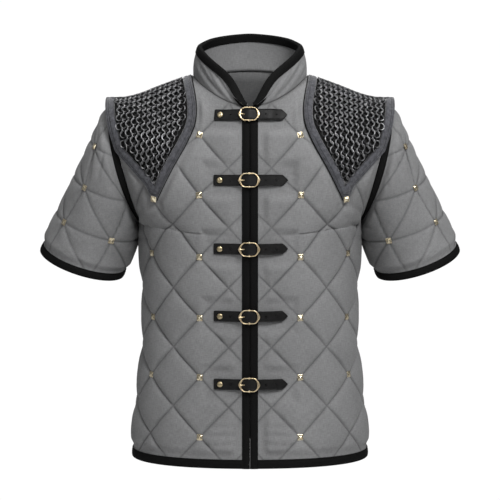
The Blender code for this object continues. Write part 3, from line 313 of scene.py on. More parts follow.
# Creases on a sleeve: degrees round from the upper edge and height up from the cuff of both ends
SLEEVE_CREASES = (
    (35, 0.250, 58, 0.150, 0.0050, 0.0022),
    (62, 0.245, 70, 0.165, 0.0050, 0.0022),
    (20, 0.245, 12, 0.170, 0.0050, 0.0016),
    (90, 0.200, 96, 0.150, 0.0045, 0.0014),
    (150, 0.150, 120, 0.120, 0.0050, 0.0018),
    (165, 0.110, 135, 0.095, 0.0050, 0.0018),
    (170, 0.080, 140, 0.060, 0.0045, 0.0014),
    (60, 0.030, 95, 0.020, 0.0040, 0.0010),
    (-155, 0.140, -120, 0.120, 0.0050, 0.0018),
    (-160, 0.100, -130, 0.085, 0.0050, 0.0016),
    (-60, 0.245, -70, 0.160, 0.0050, 0.0018),
    (-30, 0.250, -15, 0.180, 0.0050, 0.0016),
)
# Creases on half of the collar: metres along the neckline and share of its height, of both ends
COLLAR_CREASES = (
    (0.022, 0.08, 0.072, 0.78, 0.0050, 0.0026),
    (0.042, 0.04, 0.128, 0.66, 0.0065, 0.0026),
    (0.060, 0.30, 0.100, 0.80, 0.0030, 0.0010),
    (0.100, 0.08, 0.160, 0.42, 0.0050, 0.0014),
    (0.180, 0.90, 0.230, 0.30, 0.0050, 0.0010),
)

# Fine grids: round a sleeve and up it; round half of the collar and up it; along and across a patch
SLEEVE_TURNS, SLEEVE_ROWS = 180, 110
FINE_SLEEVE_PUFF = 0.0030  # how far the wadding rises between a sleeve's stitch lines
COLLAR_COLUMNS, COLLAR_ROWS = 90, 26
COLLAR_START = 0.0045  # metres along the neckline, from the centre front
COLLAR_END_WIDTH, COLLAR_END_RUN = 0.45, 0.016  # its binding's narrowest share in front, metres to full width
COLLAR_CLOSENESS = 1.4  # power that draws its columns together in front
COLLAR_STEP = 0.004  # share of the half turn, to both sides for the direction along its edge
COLLAR_SIDE = 0.165  # along the neckline, where the neck's side is
COLLAR_CURL, COLLAR_CURL_RUN, COLLAR_CURL_START = 0.055, 0.065, 2.5  # most, metres, power of the height
COLLAR_BULGE = 0.018  # how far its middle stands out, as a share of the distance from the neck's axis
COLLAR_UNEVEN = 0.6  # of the body's unevenness
COLLAR_FOOT = 0.12  # share of its height at which its relief is full
# Its relief starts this far below the top edge, and is full after the second length.
COLLAR_TOP = (0.0104, 0.004)
COLLAR_UNDERLAP = 0.0025  # how far its inner face reaches below the neckline
PATCH_GRID = (61, 31)
FRONT_EDGE_STATIONS = 140
HEM_STATIONS = 90
CUFF_STATIONS = 96
HEM_UNDER_FRONT = 0.0012  # how far the hem's binding runs under the front edge's
HEM_OVERHANG = 0.0018  # how far the front edge's binding runs below the cloth
BAND_CROWN = 0.0009  # how far the armhole band's middle stands out
BAND_ROUNDNESS, BAND_COLUMNS = 0.5, 9
# Mail: round links, each through two above it and two below
RING_RADIUS = 0.0060  # to the middle of the wire
RING_WIRE = 0.0019
RING_PITCH = 0.00905  # across, between links in one row
RING_STEP = 0.0080  # between rows
RING_TILT = math.radians(41)
RIDGE_TILT, RIDGE_RUN = 0.3, 0.030  # share of the tilt on the shoulder ridge, and how far down it is full
RING_PRESSED = 0.6  # a link's depth as a share of a round one's
RING_LIFT = 0.0034  # the links' middle above the cloth
RING_CLEAR = 1.22  # border widths from the patch's edge to the nearest link's middle
RING_ROW_SHARE = 0.35  # where the links' columns are spaced evenly, down from the shoulder
RING_SEGMENTS, WIRE_SIDES = 16, 6
RING_UNEVEN, RING_UNEVEN_SCALE = 0.25, 900.0  # how much the tilt varies, and how soon
MOST_RING_ROWS = 80
BACKING_OVERLAP = 0.6  # border widths from the patch's edge to the backing's
BACKING_LIFT, BACKING_WALL = 0.0004, 0.0008
BACKING_ROWS, BACKING_COLUMNS = 40, 21
BACKING_WEAVE = 0.004  # of cloth between two rows
BORDER_STATIONS = 110
VELVET_HEIGHT = 0.0042
RIPPLE, RIPPLE_LENGTH, RIPPLES_ACROSS = 0.10, 0.006, 2  # share of its height, metres, over its width
BORDER_LIFT = 0.0006
# Share of the border's width from its rim, and height as a share of the full one
BORDER_SECTION = (
    (0.0, 0.15),
    (0.03, 0.62),
    (0.09, 0.95),
    (0.14, 0.92),
    (0.19, 0.50),
    (0.25, 0.94),
    (0.33, 0.92),
    (0.39, 0.48),
    (0.46, 0.94),
    (0.52, 1.00),
    (0.72, 1.00),
    (0.86, 0.92),
    (0.95, 0.74),
    (1.0, 0.30),
)
PIPING_RADIUS = 0.0009
PIPING_OUTSIDE = 0.0006  # how far its middle lies past the border's rim
PIPING_SIDES, TUBE_SIDES = 8, 10
OFF_AXIS = (0.13, 0.31, 0.94)  # a direction that no bar follows
# Straps: share of the half height, and height as a share of the thickness, from the middle to the edge
STRAP_FACE = (
    (0.10, 1.0),
    (0.45, 1.0),
    (0.72, 0.99),
    (0.78, 0.78),
    (0.83, 0.80),
    (0.90, 0.97),
    (0.96, 0.90),
    (0.992, 0.66),
    (1.0, 0.35),
)
STRAP_TIP_START = 0.0541
STRAP_TIP_NARROWING, STRAP_TIP_POWER = 0.90, 1.15  # how much of the height the tip loses, and how soon
# Share of its height at the riveted end, and metres over which it would grow by 1, then of its thickness
STRAP_END_HEIGHT, STRAP_END_HEIGHT_RUN = 0.93, 0.02
STRAP_END_THIN, STRAP_END_THIN_RUN = 0.55, 0.0016
STRAP_BACK = 0.97  # its flat back's share of the height
STRAP_STATIONS, TIP_STATIONS = 70, 9
HOLE_XS = (-0.0322, 0.0262, 0.0443)
HOLE_RADIUS, HOLE_SIDES, PUNCH_LENGTH = 0.0014, 16, 0.016
BUCKLE_CORNER_STEPS = 7
BUCKLE_ROUNDING = 0.3  # of the way to the next corner
BUCKLE_SIDES, KNOB_SIDES = 12, 16
BAR_PAST_FRAME, KNOB_RISE = 0.0005, 0.0004  # its bar's ends past the frame, its knobs above their middle
# Radius and height from the base's middle to the top's
KNOB_PROFILE = (
    (0.0010, -0.0024),
    (0.0016, -0.0021),
    (0.0019, -0.0010),
    (0.0019, 0.0010),
    (0.0015, 0.0021),
    (0.0007, 0.0027),
)
RIVET_PROFILE = (
    (0.0048, 0.0),
    (0.0050, 0.0003),
    (0.0048, 0.0008),
    (0.0040, 0.0016),
    (0.0026, 0.0021),
    (0.0010, 0.0023),
)
# The prong: x, height and radius, from the centre bar to its tip on the frame's end
PRONG = (
    (-0.0060, -0.0030, 0.0009),
    (-0.0085, -0.0015, 0.0010),
    (-0.0110, 0.0002, 0.0011),
    (-0.0140, 0.0015, 0.0011),
    (-0.0170, 0.0022, 0.0010),
    (-0.0186, 0.0016, 0.0007),
)
# Studs: half side and height, from the rim to the top; and the corners of their outline
STUD_PROFILE = (
    (0.0050, 0.0),
    (0.0050, 0.0006),
    (0.0045, 0.0009),
    (0.0041, 0.0008),
    (0.0030, 0.0019),
    (0.0006, 0.0034),
    (0.0003, 0.0035),
)
STUD_OUTLINE = (
    (1, 0.86),
    (0.86, 1),
    (-0.86, 1),
    (-1, 0.86),
    (-1, -0.86),
    (-0.86, -1),
    (0.86, -1),
    (1, -0.86),
)
# Thread
THREAD = 0.0008  # thickness
STITCH_PITCH = 0.0042
STITCH_SHARE = 0.62  # of the pitch that the thread shows
HOOP_STEPS, LINE_STEPS = 400, 60  # points at which a sleeve's stitch lines are found
STITCH_TOP, STITCH_RISE = (0.2, 0.8), 0.8  # of its length between which it is highest, height in thicknesses
STITCH_LIFT = 0.00026  # how far above the cloth
STITCH_MARGIN = 0.002  # of cloth between the stitches and a binding or a seam
STITCH_LINES = range(-13, 26, 2)  # numbers of those that can cross half of the body
FRONT_STUDS = ((2, 1, 11), (4, 5, 9))  # column, first and last level; on every second level
BACK_STUDS = ((0, 3, 11), (2, 3, 11), (4, 5, 9))
PATCH_TIP_STUD = 0.985  # share of the patch's length
STRAP_ANGLE, RIVET_ANGLE, STUD_ANGLE = 35, 40, 20  # degrees: a sharper edge isn't smoothed
STUD_ROOM = 0.006  # of cloth that a stud of a sleeve needs above it
CLOTH_DARK, CLOTH_LIGHT = (0.180, 0.181, 0.183), (0.236, 0.237, 0.240)
PAINTED_SHADE_TONE = 0.66  # of the cloth's brightness where the painted shade is 1, as on a stitch line
# Painted shade below the armpit: its middle, how much sooner it ends along X, Y and Z, its strength and reach
UNDERARM = np.array([0.205, -0.02, -0.27])
UNDERARM_SHAPE = np.array([1.5, 0.6, 0.8])
UNDERARM_SHADE, UNDERARM_REACH = 1.4, 0.068
VELVET_DARK, VELVET_LIGHT = (0.035, 0.036, 0.042), (0.088, 0.089, 0.101)

# ---- Camera, light and floor
CAMERA_LENS, SENSOR_WIDTH = 127.5, 36
CAMERA_DISTANCE = 3.1
CAMERA_RISE = 5  # degrees above eye level
CAMERA_AIM = -0.30
FLOOR_HEIGHT, FLOOR_RADIUS, FLOOR_SIDES = -1.45, 2.7, 96
BACKDROP = (0.90, 0.95)  # the world turns white where its direction's Y is past this
AMBIENT, BACKDROP_WHITE = 0.15, 1.02
LIGHTS = (  # name, place, size, watts
    ("key", (1.1, -2.1, 1.6), 1.2, 77),
    ("fill", (-1.8, -3.0, 1.2), 1.8, 24),
    ("top", (0.0, 0.2, 2.4), 1.2, 30),
)


# ---------------------------------------------------------------- numbers
def read_table(table, column, where):
    """A column of a table, as a smooth curve through its rows, at a value of the first column."""
    keys = [row[0] for row in table]
    values = [row[column] for row in table]
    where = min(max(where, keys[0]), keys[-1])
    n = next((i for i in range(len(keys) - 1) if where <= keys[i + 1]), len(keys) - 2)

    def slope(i):
        low, high = max(i - 1, 0), min(i + 1, len(keys) - 1)
        return (values[high] - values[low]) / (keys[high] - keys[low])

    span = keys[n + 1] - keys[n]
    t = (where - keys[n]) / span
    start, end = slope(n) * span, slope(n + 1) * span
    a = 2 * values[n] - 2 * values[n + 1] + start + end
    b = -3 * values[n] + 3 * values[n + 1] - 2 * start - end
    return ((a * t + b) * t + start) * t + values[n]


def unit(vectors):
    """One direction or many, each made one metre long."""
    return vectors / np.linalg.norm(vectors, axis=-1, keepdims=True)


def bezier(corners, steps):
    """Points on a cubic curve, one row for each value of steps."""
    t = np.asarray(steps)[:, None]
    p0, p1, p2, p3 = corners
    return (1 - t) ** 3 * p0 + 3 * (1 - t) ** 2 * t * p1 + 3 * (1 - t) * t**2 * p2 + t**3 * p3


def lengths_along(points):
    return np.concatenate([[0], np.cumsum(np.linalg.norm(np.diff(points, axis=0), axis=1))])


def at_length(points, lengths, where):
    """The place at one length along a line of points, or the places at many."""
    return np.array([np.interp(where, lengths, points[:, axis]) for axis in range(3)]).T


def full_turn(count):
    """Angles spaced evenly round a circle."""
    return [math.tau * n / count for n in range(count)]


# ---------------------------------------------------------------- the body's form
def armhole_point(side, turn):
    """turn is 0 at the shoulder tip and pi at the armpit."""
    top, bottom = np.array(ARMHOLE_TOP), np.array(ARMHOLE_BOTTOM)
    x, z = (top + bottom) / 2 + (top - bottom) / 2 * math.cos(turn)
    across = math.sin(turn)
    return np.array([x + ARMHOLE_BULGE * across, side * ARMHOLE_HALF_DEPTH * across, z])


def front_height(level):
    return FRONT_TOP_Z - LEVEL_STEP * level


def edge_point(side, level):
    """Where a row of the front or the back ends: on the shoulder ridge, the armhole or the side seam."""
    if level <= TIP_LEVEL:
        return np.array([read_table(RIDGE, 1, level), 0, read_table(RIDGE, 2, level)])
    if level <= ARMPIT_LEVEL:
        return armhole_point(side, math.pi * (level - TIP_LEVEL) / (ARMPIT_LEVEL - TIP_LEVEL))
    sunk = read_table(SIDE_SEAM, 2, level)
    return np.array([read_table(SIDE_SEAM, 1, level), 0, front_height(level) - sunk])


rows_made = {}


def torso_row(side, level):
    """A row of the front (side -1) or back (side 1) from the centre line to its edge, and the lengths
    along it."""
    key = (side, round(level, 4))
    if key in rows_made:
        return rows_made[key]
    depth = read_table(TORSO_DEPTH, 1 if side == FRONT else 2, level)
    height = front_height(level)
    if side == BACK:
        height += BACK_NECK_RISE * max(0, 1 - level / ARMPIT_LEVEL) ** 2
    turn = math.radians(read_table(ROW_END, 1, level))
    fall = math.radians(read_table(ROW_END, 2, level))
    start = np.array([0, side * depth, height])
    end = edge_point(side, level)
    outwards = np.array([math.cos(fall), 0, -math.sin(fall)])
    direction = math.cos(turn) * outwards + math.sin(turn) * np.array([0, -side, 0])
    reach = FULLNESS * abs(end[1] - start[1]) / math.sin(turn)
    dip = read_table(ROW_DIP, 1, level) if side == FRONT else 0
    fullness = CHEST_FULLNESS if level < ARMPIT_LEVEL else FULLNESS
    first = start + np.array([fullness * end[0], 0, -dip])
    points = bezier((start, first, end - reach * direction, end), np.linspace(0, 1, SAMPLES))
    rows_made[key] = points, lengths_along(points)
    return rows_made[key]


def row_length(side, level):
    return torso_row(side, level)[1][-1]


def column_shift(side):
    """How far past the centre line the lattice's column 0 lies."""
    return FRONT_COLUMN_SHIFT if side == FRONT else 0


def torso_point(side, level, share):
    """share runs from 0 at the centre line to 1 at the row's edge."""
    points, lengths = torso_row(side, level)
    return at_length(points, lengths, share * lengths[-1])


def torso_frame(side, level, share):
    """The point there, the direction down the cloth and the direction out of it. share is one number
    or many."""
    above, below = max(level - LEVEL_PROBE, 0), min(level + LEVEL_PROBE, HEM_LEVEL)
    left, right = np.clip(share - SHARE_PROBE, 0, 1), np.clip(share + SHARE_PROBE, 0, 1)
    down = unit(torso_point(side, below, share) - torso_point(side, above, share))
    across = torso_point(side, level, right) - torso_point(side, level, left)
    out = unit(np.cross(across, down)) * side
    if not TIP_LEVEL < level < ARMPIT_LEVEL:
        at_seam = share > 1 - AT_EDGE
        out[at_seam] = unit(out[at_seam] * (1, 0, 1))
    at_centre = share < AT_EDGE
    out[at_centre] = unit(out[at_centre] * (0, 1, 1))
    return torso_point(side, level, share), down, out


# ---------------------------------------------------------------- the patches' outline on the torso
def crossing_length(side, level, outline):
    """How far along a row it meets an outline given as half widths at heights, or the row's length where
    it doesn't meet it."""
    points, lengths = torso_row(side, level)
    widths = np.array([read_table(outline, 1, z) for z in points[:, 2]])
    past = np.nonzero(points[:, 0] >= widths)[0]
    if len(past) == 0 or past[0] == 0:
        return lengths[-1]
    n = past[0]
    before, after = points[n - 1, 0] - widths[n - 1], points[n, 0] - widths[n]
    return float(np.interp(0, [before, after], [lengths[n - 1], lengths[n]]))


@cache
def patch_edge(side, outline):
    """(share of a row, level) along one edge of the patch from the shoulder ridge to the tip, with the
    share of the edge's own length at each."""
    first = TIP_LEVEL
    if outline is PATCH_INNER:
        first = next(n / RIDGE_STEPS for n in range(RIDGE_STEPS) if meets_ridge(n / RIDGE_STEPS))
    places = [(1.0, first)]
    for n in range(1, PATCH_SAMPLES + 1):
        level = first + (PATCH_TIP_LEVEL - first) * (n / PATCH_SAMPLES) ** 2
        places.append((crossing_length(side, level, outline) / row_length(side, level), level))
    points = np.array([torso_point(side, level, share) for share, level in places])
    lengths = lengths_along(points)
    return np.array(places), lengths / lengths[-1]


def meets_ridge(level):
    x, _, z = edge_point(FRONT, level)
    return x >= read_table(PATCH_INNER, 1, z)


def patch_point(side, along, across):
    """A point of the patch and the direction out of it. along runs from the shoulder ridge to the tip,
    across from the inner to the outer edge."""
    ends = []
    for outline in (PATCH_INNER, PATCH_OUTER):
        places, lengths = patch_edge(side, outline)
        ends.append([np.interp(along, lengths, places[:, column]) for column in (0, 1)])
    share, level = (1 - across) * np.array(ends[0]) + across * np.array(ends[1])
    point, _, out = torso_frame(side, level, share)
    wing = max(0.0, read_table(WING_FADE, 1, along)) * max(0.0, across - WING_START) / (1 - WING_START)
    sideways, forwards, up = WING_DIRECTION
    forwards *= side * min(1, WING_FORWARD * along)
    lifted = np.array([sideways, forwards, up - WING_FALL * along])
    return point + WING_LENGTH * wing * lifted, out


@cache
def rim_line(edge):
    """One edge of the patch, from the front tip over the shoulder to the back tip."""
    alongs = np.linspace(0, 1, PATCH_SAMPLES)
    front = [patch_point(FRONT, along, edge)[0] for along in alongs[:0:-1]]
    return np.array(front + [patch_point(BACK, along, edge)[0] for along in alongs])


def distance_to_line(point, line):
    starts, steps = line[:-1], np.diff(line, axis=0)
    shares = np.clip(((point - starts) * steps).sum(axis=1) / (steps**2).sum(axis=1), 0, 1)
    return np.linalg.norm(point - starts - shares[:, None] * steps, axis=1).min()


def share_inside(side, along, edge, distance):
    """The share of the patch's width that lies within a distance of one edge."""
    low, high = 0.0, MOST_BORDER
    for _ in range(HALVINGS):
        middle = (low + high) / 2
        point = patch_point(side, along, abs(edge - middle))[0]
        if distance_to_line(point, rim_line(edge)) < distance:
            low = middle
        else:
            high = middle
    return high


def patch_width(side, along):
    ends = [patch_point(side, along, across)[0] for across in (0, 1)]
    return np.linalg.norm(ends[1] - ends[0])


# ---------------------------------------------------------------- sleeves
def cuff_point(turn):
    top, bottom = np.array(CUFF_TOP), np.array(CUFF_BOTTOM)
    x, z = (top + bottom) / 2 + (top - bottom) / 2 * math.cos(turn)
    forward = math.sin(turn)
    return np.array([x, CUFF_BACK_SHIFT - CUFF_HALF_DEPTH * forward, z - CUFF_FRONT_DROP * forward])


def sleeve_line(turn):
    """The cloth's run from the cuff up to the armhole. turn goes round from the upper edge by the front."""
    turn = turn % math.tau
    side = FRONT if turn <= math.pi else BACK
    half_turn = turn if turn <= math.pi else math.tau - turn
    outwards = armhole_outwards()
    end = armhole_point(side, half_turn) + outwards * (band_width(half_turn) + 3 * SEAM_GAP)
    start = cuff_point(turn)
    upper = (1 + math.cos(turn)) / 2
    spread = ARMHOLE_SPREAD + UPPER_SPREAD * upper
    leaving = unit(np.array([spread, ROUND_SPREAD * side * math.sin(half_turn), UPPER_LIFT * upper - 1]))
    rising = unit(np.array([CUFF_RISE[0] - UPPER_CUFF_LEAN * upper, 0, CUFF_RISE[1]]))
    reach = np.linalg.norm(end - start)
    corners = (start, start + rising * CUFF_HOLD * reach, end + leaving * ARMHOLE_HOLD * reach, end)
    points = bezier(corners, np.linspace(0, 1, SAMPLES))
    return points, lengths_along(points)


def band_width(half_turn):
    narrow, wide = ARMHOLE_BAND_WIDTHS
    return narrow + (wide - narrow) * math.sin(half_turn) ** ARMHOLE_BAND_SWELL


def armhole_outwards():
    """The direction square to the armhole, away from the body."""
    top, bottom = np.array(ARMHOLE_TOP), np.array(ARMHOLE_BOTTOM)
    along = unit(top - bottom)
    return np.array([along[1], 0, -along[0]])


def sleeve_frame(turn, height):
    """A point at a height up the cloth from the cuff, the way up, and the way out."""
    points, lengths = sleeve_line(turn)
    share = height / lengths[-1]
    point = at_length(points, lengths, height)
    low, high = max(height - HEIGHT_PROBE, 0), min(height + HEIGHT_PROBE, lengths[-1])
    up = unit(at_length(points, lengths, high) - at_length(points, lengths, low))
    beside = []
    for turned in (turn - TURN_PROBE, turn + TURN_PROBE):
        other, along = sleeve_line(turned)
        beside.append(at_length(other, along, share * along[-1]))
    out = unit(np.cross(up, beside[1] - beside[0]))
    return point, up, out


def cuff_radius():
    """Of a circle about as long as the cuff."""
    half_width = np.linalg.norm(np.array(CUFF_TOP) - np.array(CUFF_BOTTOM)) / 2
    return math.sqrt((half_width**2 + CUFF_HALF_DEPTH**2) / 2)


# ---------------------------------------------------------------- collar
def neckline(share):
    """The neckline's point and its length from the centre front, for a share of the half turn to the back."""
    front, back = row_length(FRONT, 0), row_length(BACK, 0)
    length = share * half_neckline()
    if length <= front:
        return torso_point(FRONT, 0, length / front), length
    return torso_point(BACK, 0, (front + back - length) / back), length


def half_neckline():
    return row_length(FRONT, 0) + row_length(BACK, 0)


def collar_curl(length):
    """How much further in the top leans at the sides of the neck."""
    return COLLAR_CURL * math.exp(-(((length - COLLAR_SIDE) / COLLAR_CURL_RUN) ** 2))


def collar_point(share, rise, depth):
    """rise runs from 0 at the neckline to 1 at the top edge, depth from 0 outside to 1 inside."""
    base, length = neckline(share)
    height = read_table(COLLAR_HEIGHT, 1, length)
    lean = 1 - COLLAR_LEAN * rise * height / COLLAR_HEIGHT[-1][1]
    lean -= collar_curl(length) * rise**COLLAR_CURL_START - COLLAR_BULGE * math.sin(math.pi * rise)
    point = base * (lean, lean, 1) + (0, 0, 2 * SEAM_GAP + rise * (height - 2 * SEAM_GAP))
    flat = unit(point * (1, 1, 0))
    return point - flat * COLLAR_WALL * depth


# ---------------------------------------------------------------- relief of the cloth
def smooth(values):
    values = np.clip(values, 0, 1)
    return values * values * (3 - 2 * values)


def unevenness(points, seed):
    """Slow swells that keep the cloth from looking machined."""
    total = np.zeros(len(points))
    for size, rise in UNEVEN:
        shifted = points / size + seed
        total += rise * np.array([noise.noise(Vector(point)) for point in shifted])
    return total


def creased(across, along, creases):
    """Soft troughs between two ends, deepest in the middle, with a low ridge on both sides."""
    total = np.zeros(len(across))
    for across0, along0, across1, along1, half_width, depth in creases:
        run = np.array([across1 - across0, along1 - along0])
        length = np.linalg.norm(run)
        offset = np.stack([across - across0, along - along0], axis=1)
        share = offset @ run / length**2
        away = (offset[:, 0] * run[1] - offset[:, 1] * run[0]) / length
        fade = smooth((0.5 - np.abs(share - 0.5)) / CREASE_FADE + CREASE_END)
        ratio = (away / half_width) ** 2
        total += depth * fade * (RIDGES * np.exp(-ratio / RIDGES_SPREAD) - TROUGH * np.exp(-ratio))
    return total


def pillow(away, spacing):
    """0 to 1 with the distance from a stitch line: a crisp crease, then a broad low crown."""
    crease = 1 - np.exp(-away / CREASE_WIDTH)
    crown = 1 - (1 - np.clip(2 * away / spacing, 0, 1)) ** CROWN_POWER
    return CREASE_SHARE * crease + (1 - CREASE_SHARE) * crown


def seam_shade(away):
    """Painted shade in a stitch line's crease, with the darker pressed cloth: 1 on the line, 0 away from it.
    """
    return np.exp(-((away / SEAM_SHADE) ** 2))


def underarm_shade(points):
    """Painted shade: the cloth is darker where the sleeve and the side face each other."""
    away = np.linalg.norm((points - UNDERARM) * UNDERARM_SHAPE, axis=-1)
    return UNDERARM_SHADE * np.exp(-((away / UNDERARM_REACH) ** 2))


def patch_cover(side, level, lengths):
    """1 where the cloth lies under a patch and 0 away from it, for many lengths of one row."""
    if (level - PATCH_TIP_LEVEL) * LEVEL_STEP > sum(PADDED_PATCH):
        return np.zeros(len(lengths))
    start = crossing_length(side, min(level, PATCH_TIP_LEVEL), PATCH_INNER)
    end = row_length(side, level)
    if level > TIP_LEVEL:
        end = crossing_length(side, min(level, PATCH_TIP_LEVEL), PATCH_OUTER)
    outside = np.maximum(start - lengths, lengths - end)
    outside = np.maximum(outside, max((level - PATCH_TIP_LEVEL) * LEVEL_STEP, 0))
    clear, run = PADDED_PATCH
    return 1 - smooth((outside - clear) / run)


def ramp(distances, span):
    start, run = span
    return smooth((distances - start) / run)


def torso_relief(side, level, lengths, points):
    """How far the cloth stands out above its stitched form, and its painted shade near stitch lines and seams
    and under the arm.
    """
    end = row_length(side, level)
    shift = column_shift(side)
    columns = (lengths + shift) / HALF_DIAMOND
    height = np.full(len(lengths), PUFF)
    shade = np.zeros(len(lengths))
    for slant in (1, -1):
        shares = (columns + slant * level - 1) / 2 % 1
        away = np.minimum(shares, 1 - shares) * LINE_SPACING
        height *= pillow(away, LINE_SPACING)
        shade = np.maximum(shade, seam_shade(away))
    edges = ramp(end - lengths, PADDED_SEAM) * ramp(level * LEVEL_STEP, PADDED_SEAM)
    edges *= ramp((HEM_LEVEL - level) * LEVEL_STEP, PADDED_HEM)
    edges *= 1 - patch_cover(side, level, lengths)
    height *= edges
    if side == FRONT:
        away_from_edge = ramp(lengths, PADDED_FRONT_EDGE)
        edges *= away_from_edge
        height *= away_from_edge
        for strap_height in STRAP_HEIGHTS:
            beside = ramp(np.abs(points[:, 2] - strap_height), PADDED_STRAP)
            height *= np.maximum(beside, ramp(lengths, PADDED_STRAP_END))
    creases = FRONT_CREASES if side == FRONT else BACK_CREASES
    folds = creased(lengths, points[:, 2], creases)
    # Painted shade along the seams at the row's edge and the neckline, and under the arm
    seams = seam_shade(np.minimum(end - lengths, level * LEVEL_STEP))
    shade = np.maximum(shade, seams) + underarm_shade(points)
    return height + edges * (folds + unevenness(points, seed=3.0 + side)), shade


# ---------------------------------------------------------------- meshes
def new_object(name, data):
    made = bpy.data.objects.new(name, data)
    bpy.context.scene.collection.objects.link(made)
    return made


def add_piece(name, points, faces, material, uvs=None, smooth_angle=180):
    """uvs lists (u, v) or (u, v, shade) for each point, u and v in metres. shade is painted shade. Cloth is
    lightest at shade 0, and shade can pass 1 where two causes add up."""
    if not np.isfinite(np.asarray(points, float)).all():
        raise ValueError(f"{name} has a point that is not a number")
    mesh = bpy.data.meshes.new(name)
    mesh.from_pydata(np.asarray(points).tolist(), [], [tuple(map(int, face)) for face in faces])
    if uvs is not None:
        layer = mesh.uv_layers.new(name="weave")
        corners = np.empty(len(mesh.loops), np.int32)
        mesh.loops.foreach_get("vertex_index", corners)
        uvs = np.asarray(uvs, np.float32)
        layer.data.foreach_set("uv", uvs[corners, :2].ravel())
        if uvs.shape[1] == 3:
            mesh.attributes.new("shade", "FLOAT", "POINT").data.foreach_set("value", uvs[:, 2])
    shaped = bmesh.new()
    shaped.from_mesh(mesh)
    bmesh.ops.recalc_face_normals(shaped, faces=shaped.faces)
    if shaped.calc_volume(signed=True) < 0:
        bmesh.ops.reverse_faces(shaped, faces=shaped.faces)
    shaped.to_mesh(mesh)
    shaped.free()
    mesh.shade_smooth()
    if smooth_angle < 180:
        mesh.set_sharp_from_angle(angle=math.radians(smooth_angle))
    mesh.materials.append(material)
    made = new_object(name, mesh)
    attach(made, "root")
    return made


def mirrored(points, hand):
    """hand is 1 for the wearer's left and -1 for the right."""
    return np.asarray(points) * (hand, 1, 1)


def zipper(first, second, points):
    """Triangles between two rows of vertex numbers, however many each has."""
    faces = []
    i = j = 0
    while i < len(first) - 1 or j < len(second) - 1:
        if j == len(second) - 1:
            step_first = True
        elif i == len(first) - 1:
            step_first = False
        else:
            near = np.linalg.norm(points[first[i + 1]] - points[second[j]])
            far = np.linalg.norm(points[first[i]] - points[second[j + 1]])
            step_first = near <= far
        if step_first:
            faces.append((first[i], first[i + 1], second[j]))
            i += 1
        else:
            faces.append((first[i], second[j + 1], second[j]))
            j += 1
    return faces


def lattice_cell(upper, lower, column, row):
    """Two triangles of a cell, split along the diagonal that the nearer stitch line follows."""
    half_turn = 2 * FINE
    along_fall = (column + row + 1 - FINE) % half_turn
    along_rise = (column - row - FINE) % half_turn
    a, b = upper[column], upper[column + 1]
    c, d = lower[column], lower[column + 1]
    if min(along_fall, half_turn - along_fall) <= min(along_rise, half_turn - along_rise):
        return [(a, b, c), (b, d, c)]
    return [(a, b, d), (a, d, c)]


def lattice_strips(rows, levels, points):
    """Joins rows of vertices. Each row lists (column, vertex); an edge's own column is None."""
    faces = []
    for level, upper, lower in zip(levels, rows, rows[1:]):
        above = {column: vertex for column, vertex in upper if column is not None}
        below = {column: vertex for column, vertex in lower if column is not None}
        shared = sorted(set(above) & set(below))
        for column in shared[:-1]:
            faces += lattice_cell(above, below, column, round(level * FINE))
        for ends in (0, -1):
            tails = []
            for row in (upper, lower):
                at = [column for column, _ in row].index(shared[ends])
                tail = row[: at + 1] if ends == 0 else row[at:]
                tails.append([vertex for _, vertex in tail])
            faces += zipper(tails[0], tails[1], points)
    return faces


def fine_row(side, level, surface, every=1):
    """(column, point, uv and painted shade) along a row, out to both of its edges."""
    end = row_length(side, level)
    cell = HALF_DIAMOND / FINE
    shift = column_shift(side)
    start = FRONT_EDGE if side == FRONT else 0.0
    first = math.ceil((start + shift) / cell + ROOM) if side == FRONT else 1
    columns = [n for n in range(first, int((end + shift) / cell + 1)) if n % every == 0]
    columns = [n for n in columns if start + ROOM * cell < n * cell - shift < end - ROOM * cell]
    lengths = np.array([start] + [n * cell - shift for n in columns] + [end])
    points, _, outs = torso_frame(side, level, lengths / end)
    # The plain inner face gets a painted shade of 1 all over, as if in shadow
    heights, shades = np.full(len(lengths), -CLOTH), np.ones(len(lengths))
    if surface:
        heights, shades = torso_relief(side, level, lengths, points)
    if side == FRONT and surface:
        heights[0] = 0.0
    points = points + outs * heights[:, None]
    if not TIP_LEVEL < level < ARMPIT_LEVEL:
        points[-1, 1] = side * SEAM_GAP / 2
    numbers = [None if side == FRONT else 0] + columns + [None]
    uvs = [(length, -level * LEVEL_STEP, shade) for length, shade in zip(lengths, shades)]
    row = list(zip(numbers, points, uvs))
    if side == BACK:
        other = []
        for n, point, (u, v, shade) in row[1:]:
            other.append((None if n is None else -n, mirrored(point, -1), (-u, v, shade)))
        row = other[::-1] + row
    return row


def fine_panel(side):
    """A quilted wall: lattice outside, plain inside with painted shade all over."""
    levels = [n / FINE for n in range(FINE * HEM_LEVEL + 1)]
    outer = [fine_row(side, level, True) for level in levels]
    inner = [fine_row(side, level, False, INNER_STEP) for level in levels[::INNER_STEP]]
    points, uvs, numbered = [], [], []
    for rows in (outer, inner):
        numbered.append([])
        for row in rows:
            numbered[-1].append([(column, len(points) + n) for n, (column, _, _) in enumerate(row)])
            points += [point for _, point, _ in row]
            uvs += [uv for _, _, uv in row]
    outer, inner = numbered
    faces = lattice_strips(outer, levels, points)
    plain = [[vertex for _, vertex in row] for row in inner]
    for upper, lower in zip(plain, plain[1:]):
        faces += [face[::-1] for face in zipper(upper, lower, points)]
    shown = [[vertex for _, vertex in row] for row in outer]
    faces += zipper(plain[0], shown[0], points)
    faces += zipper(shown[-1], plain[-1], points)
    faces += zipper([row[0] for row in shown], [row[0] for row in plain], points)
    faces += zipper([row[-1] for row in plain], [row[-1] for row in shown], points)
    return np.array(points), faces, np.array(uvs)


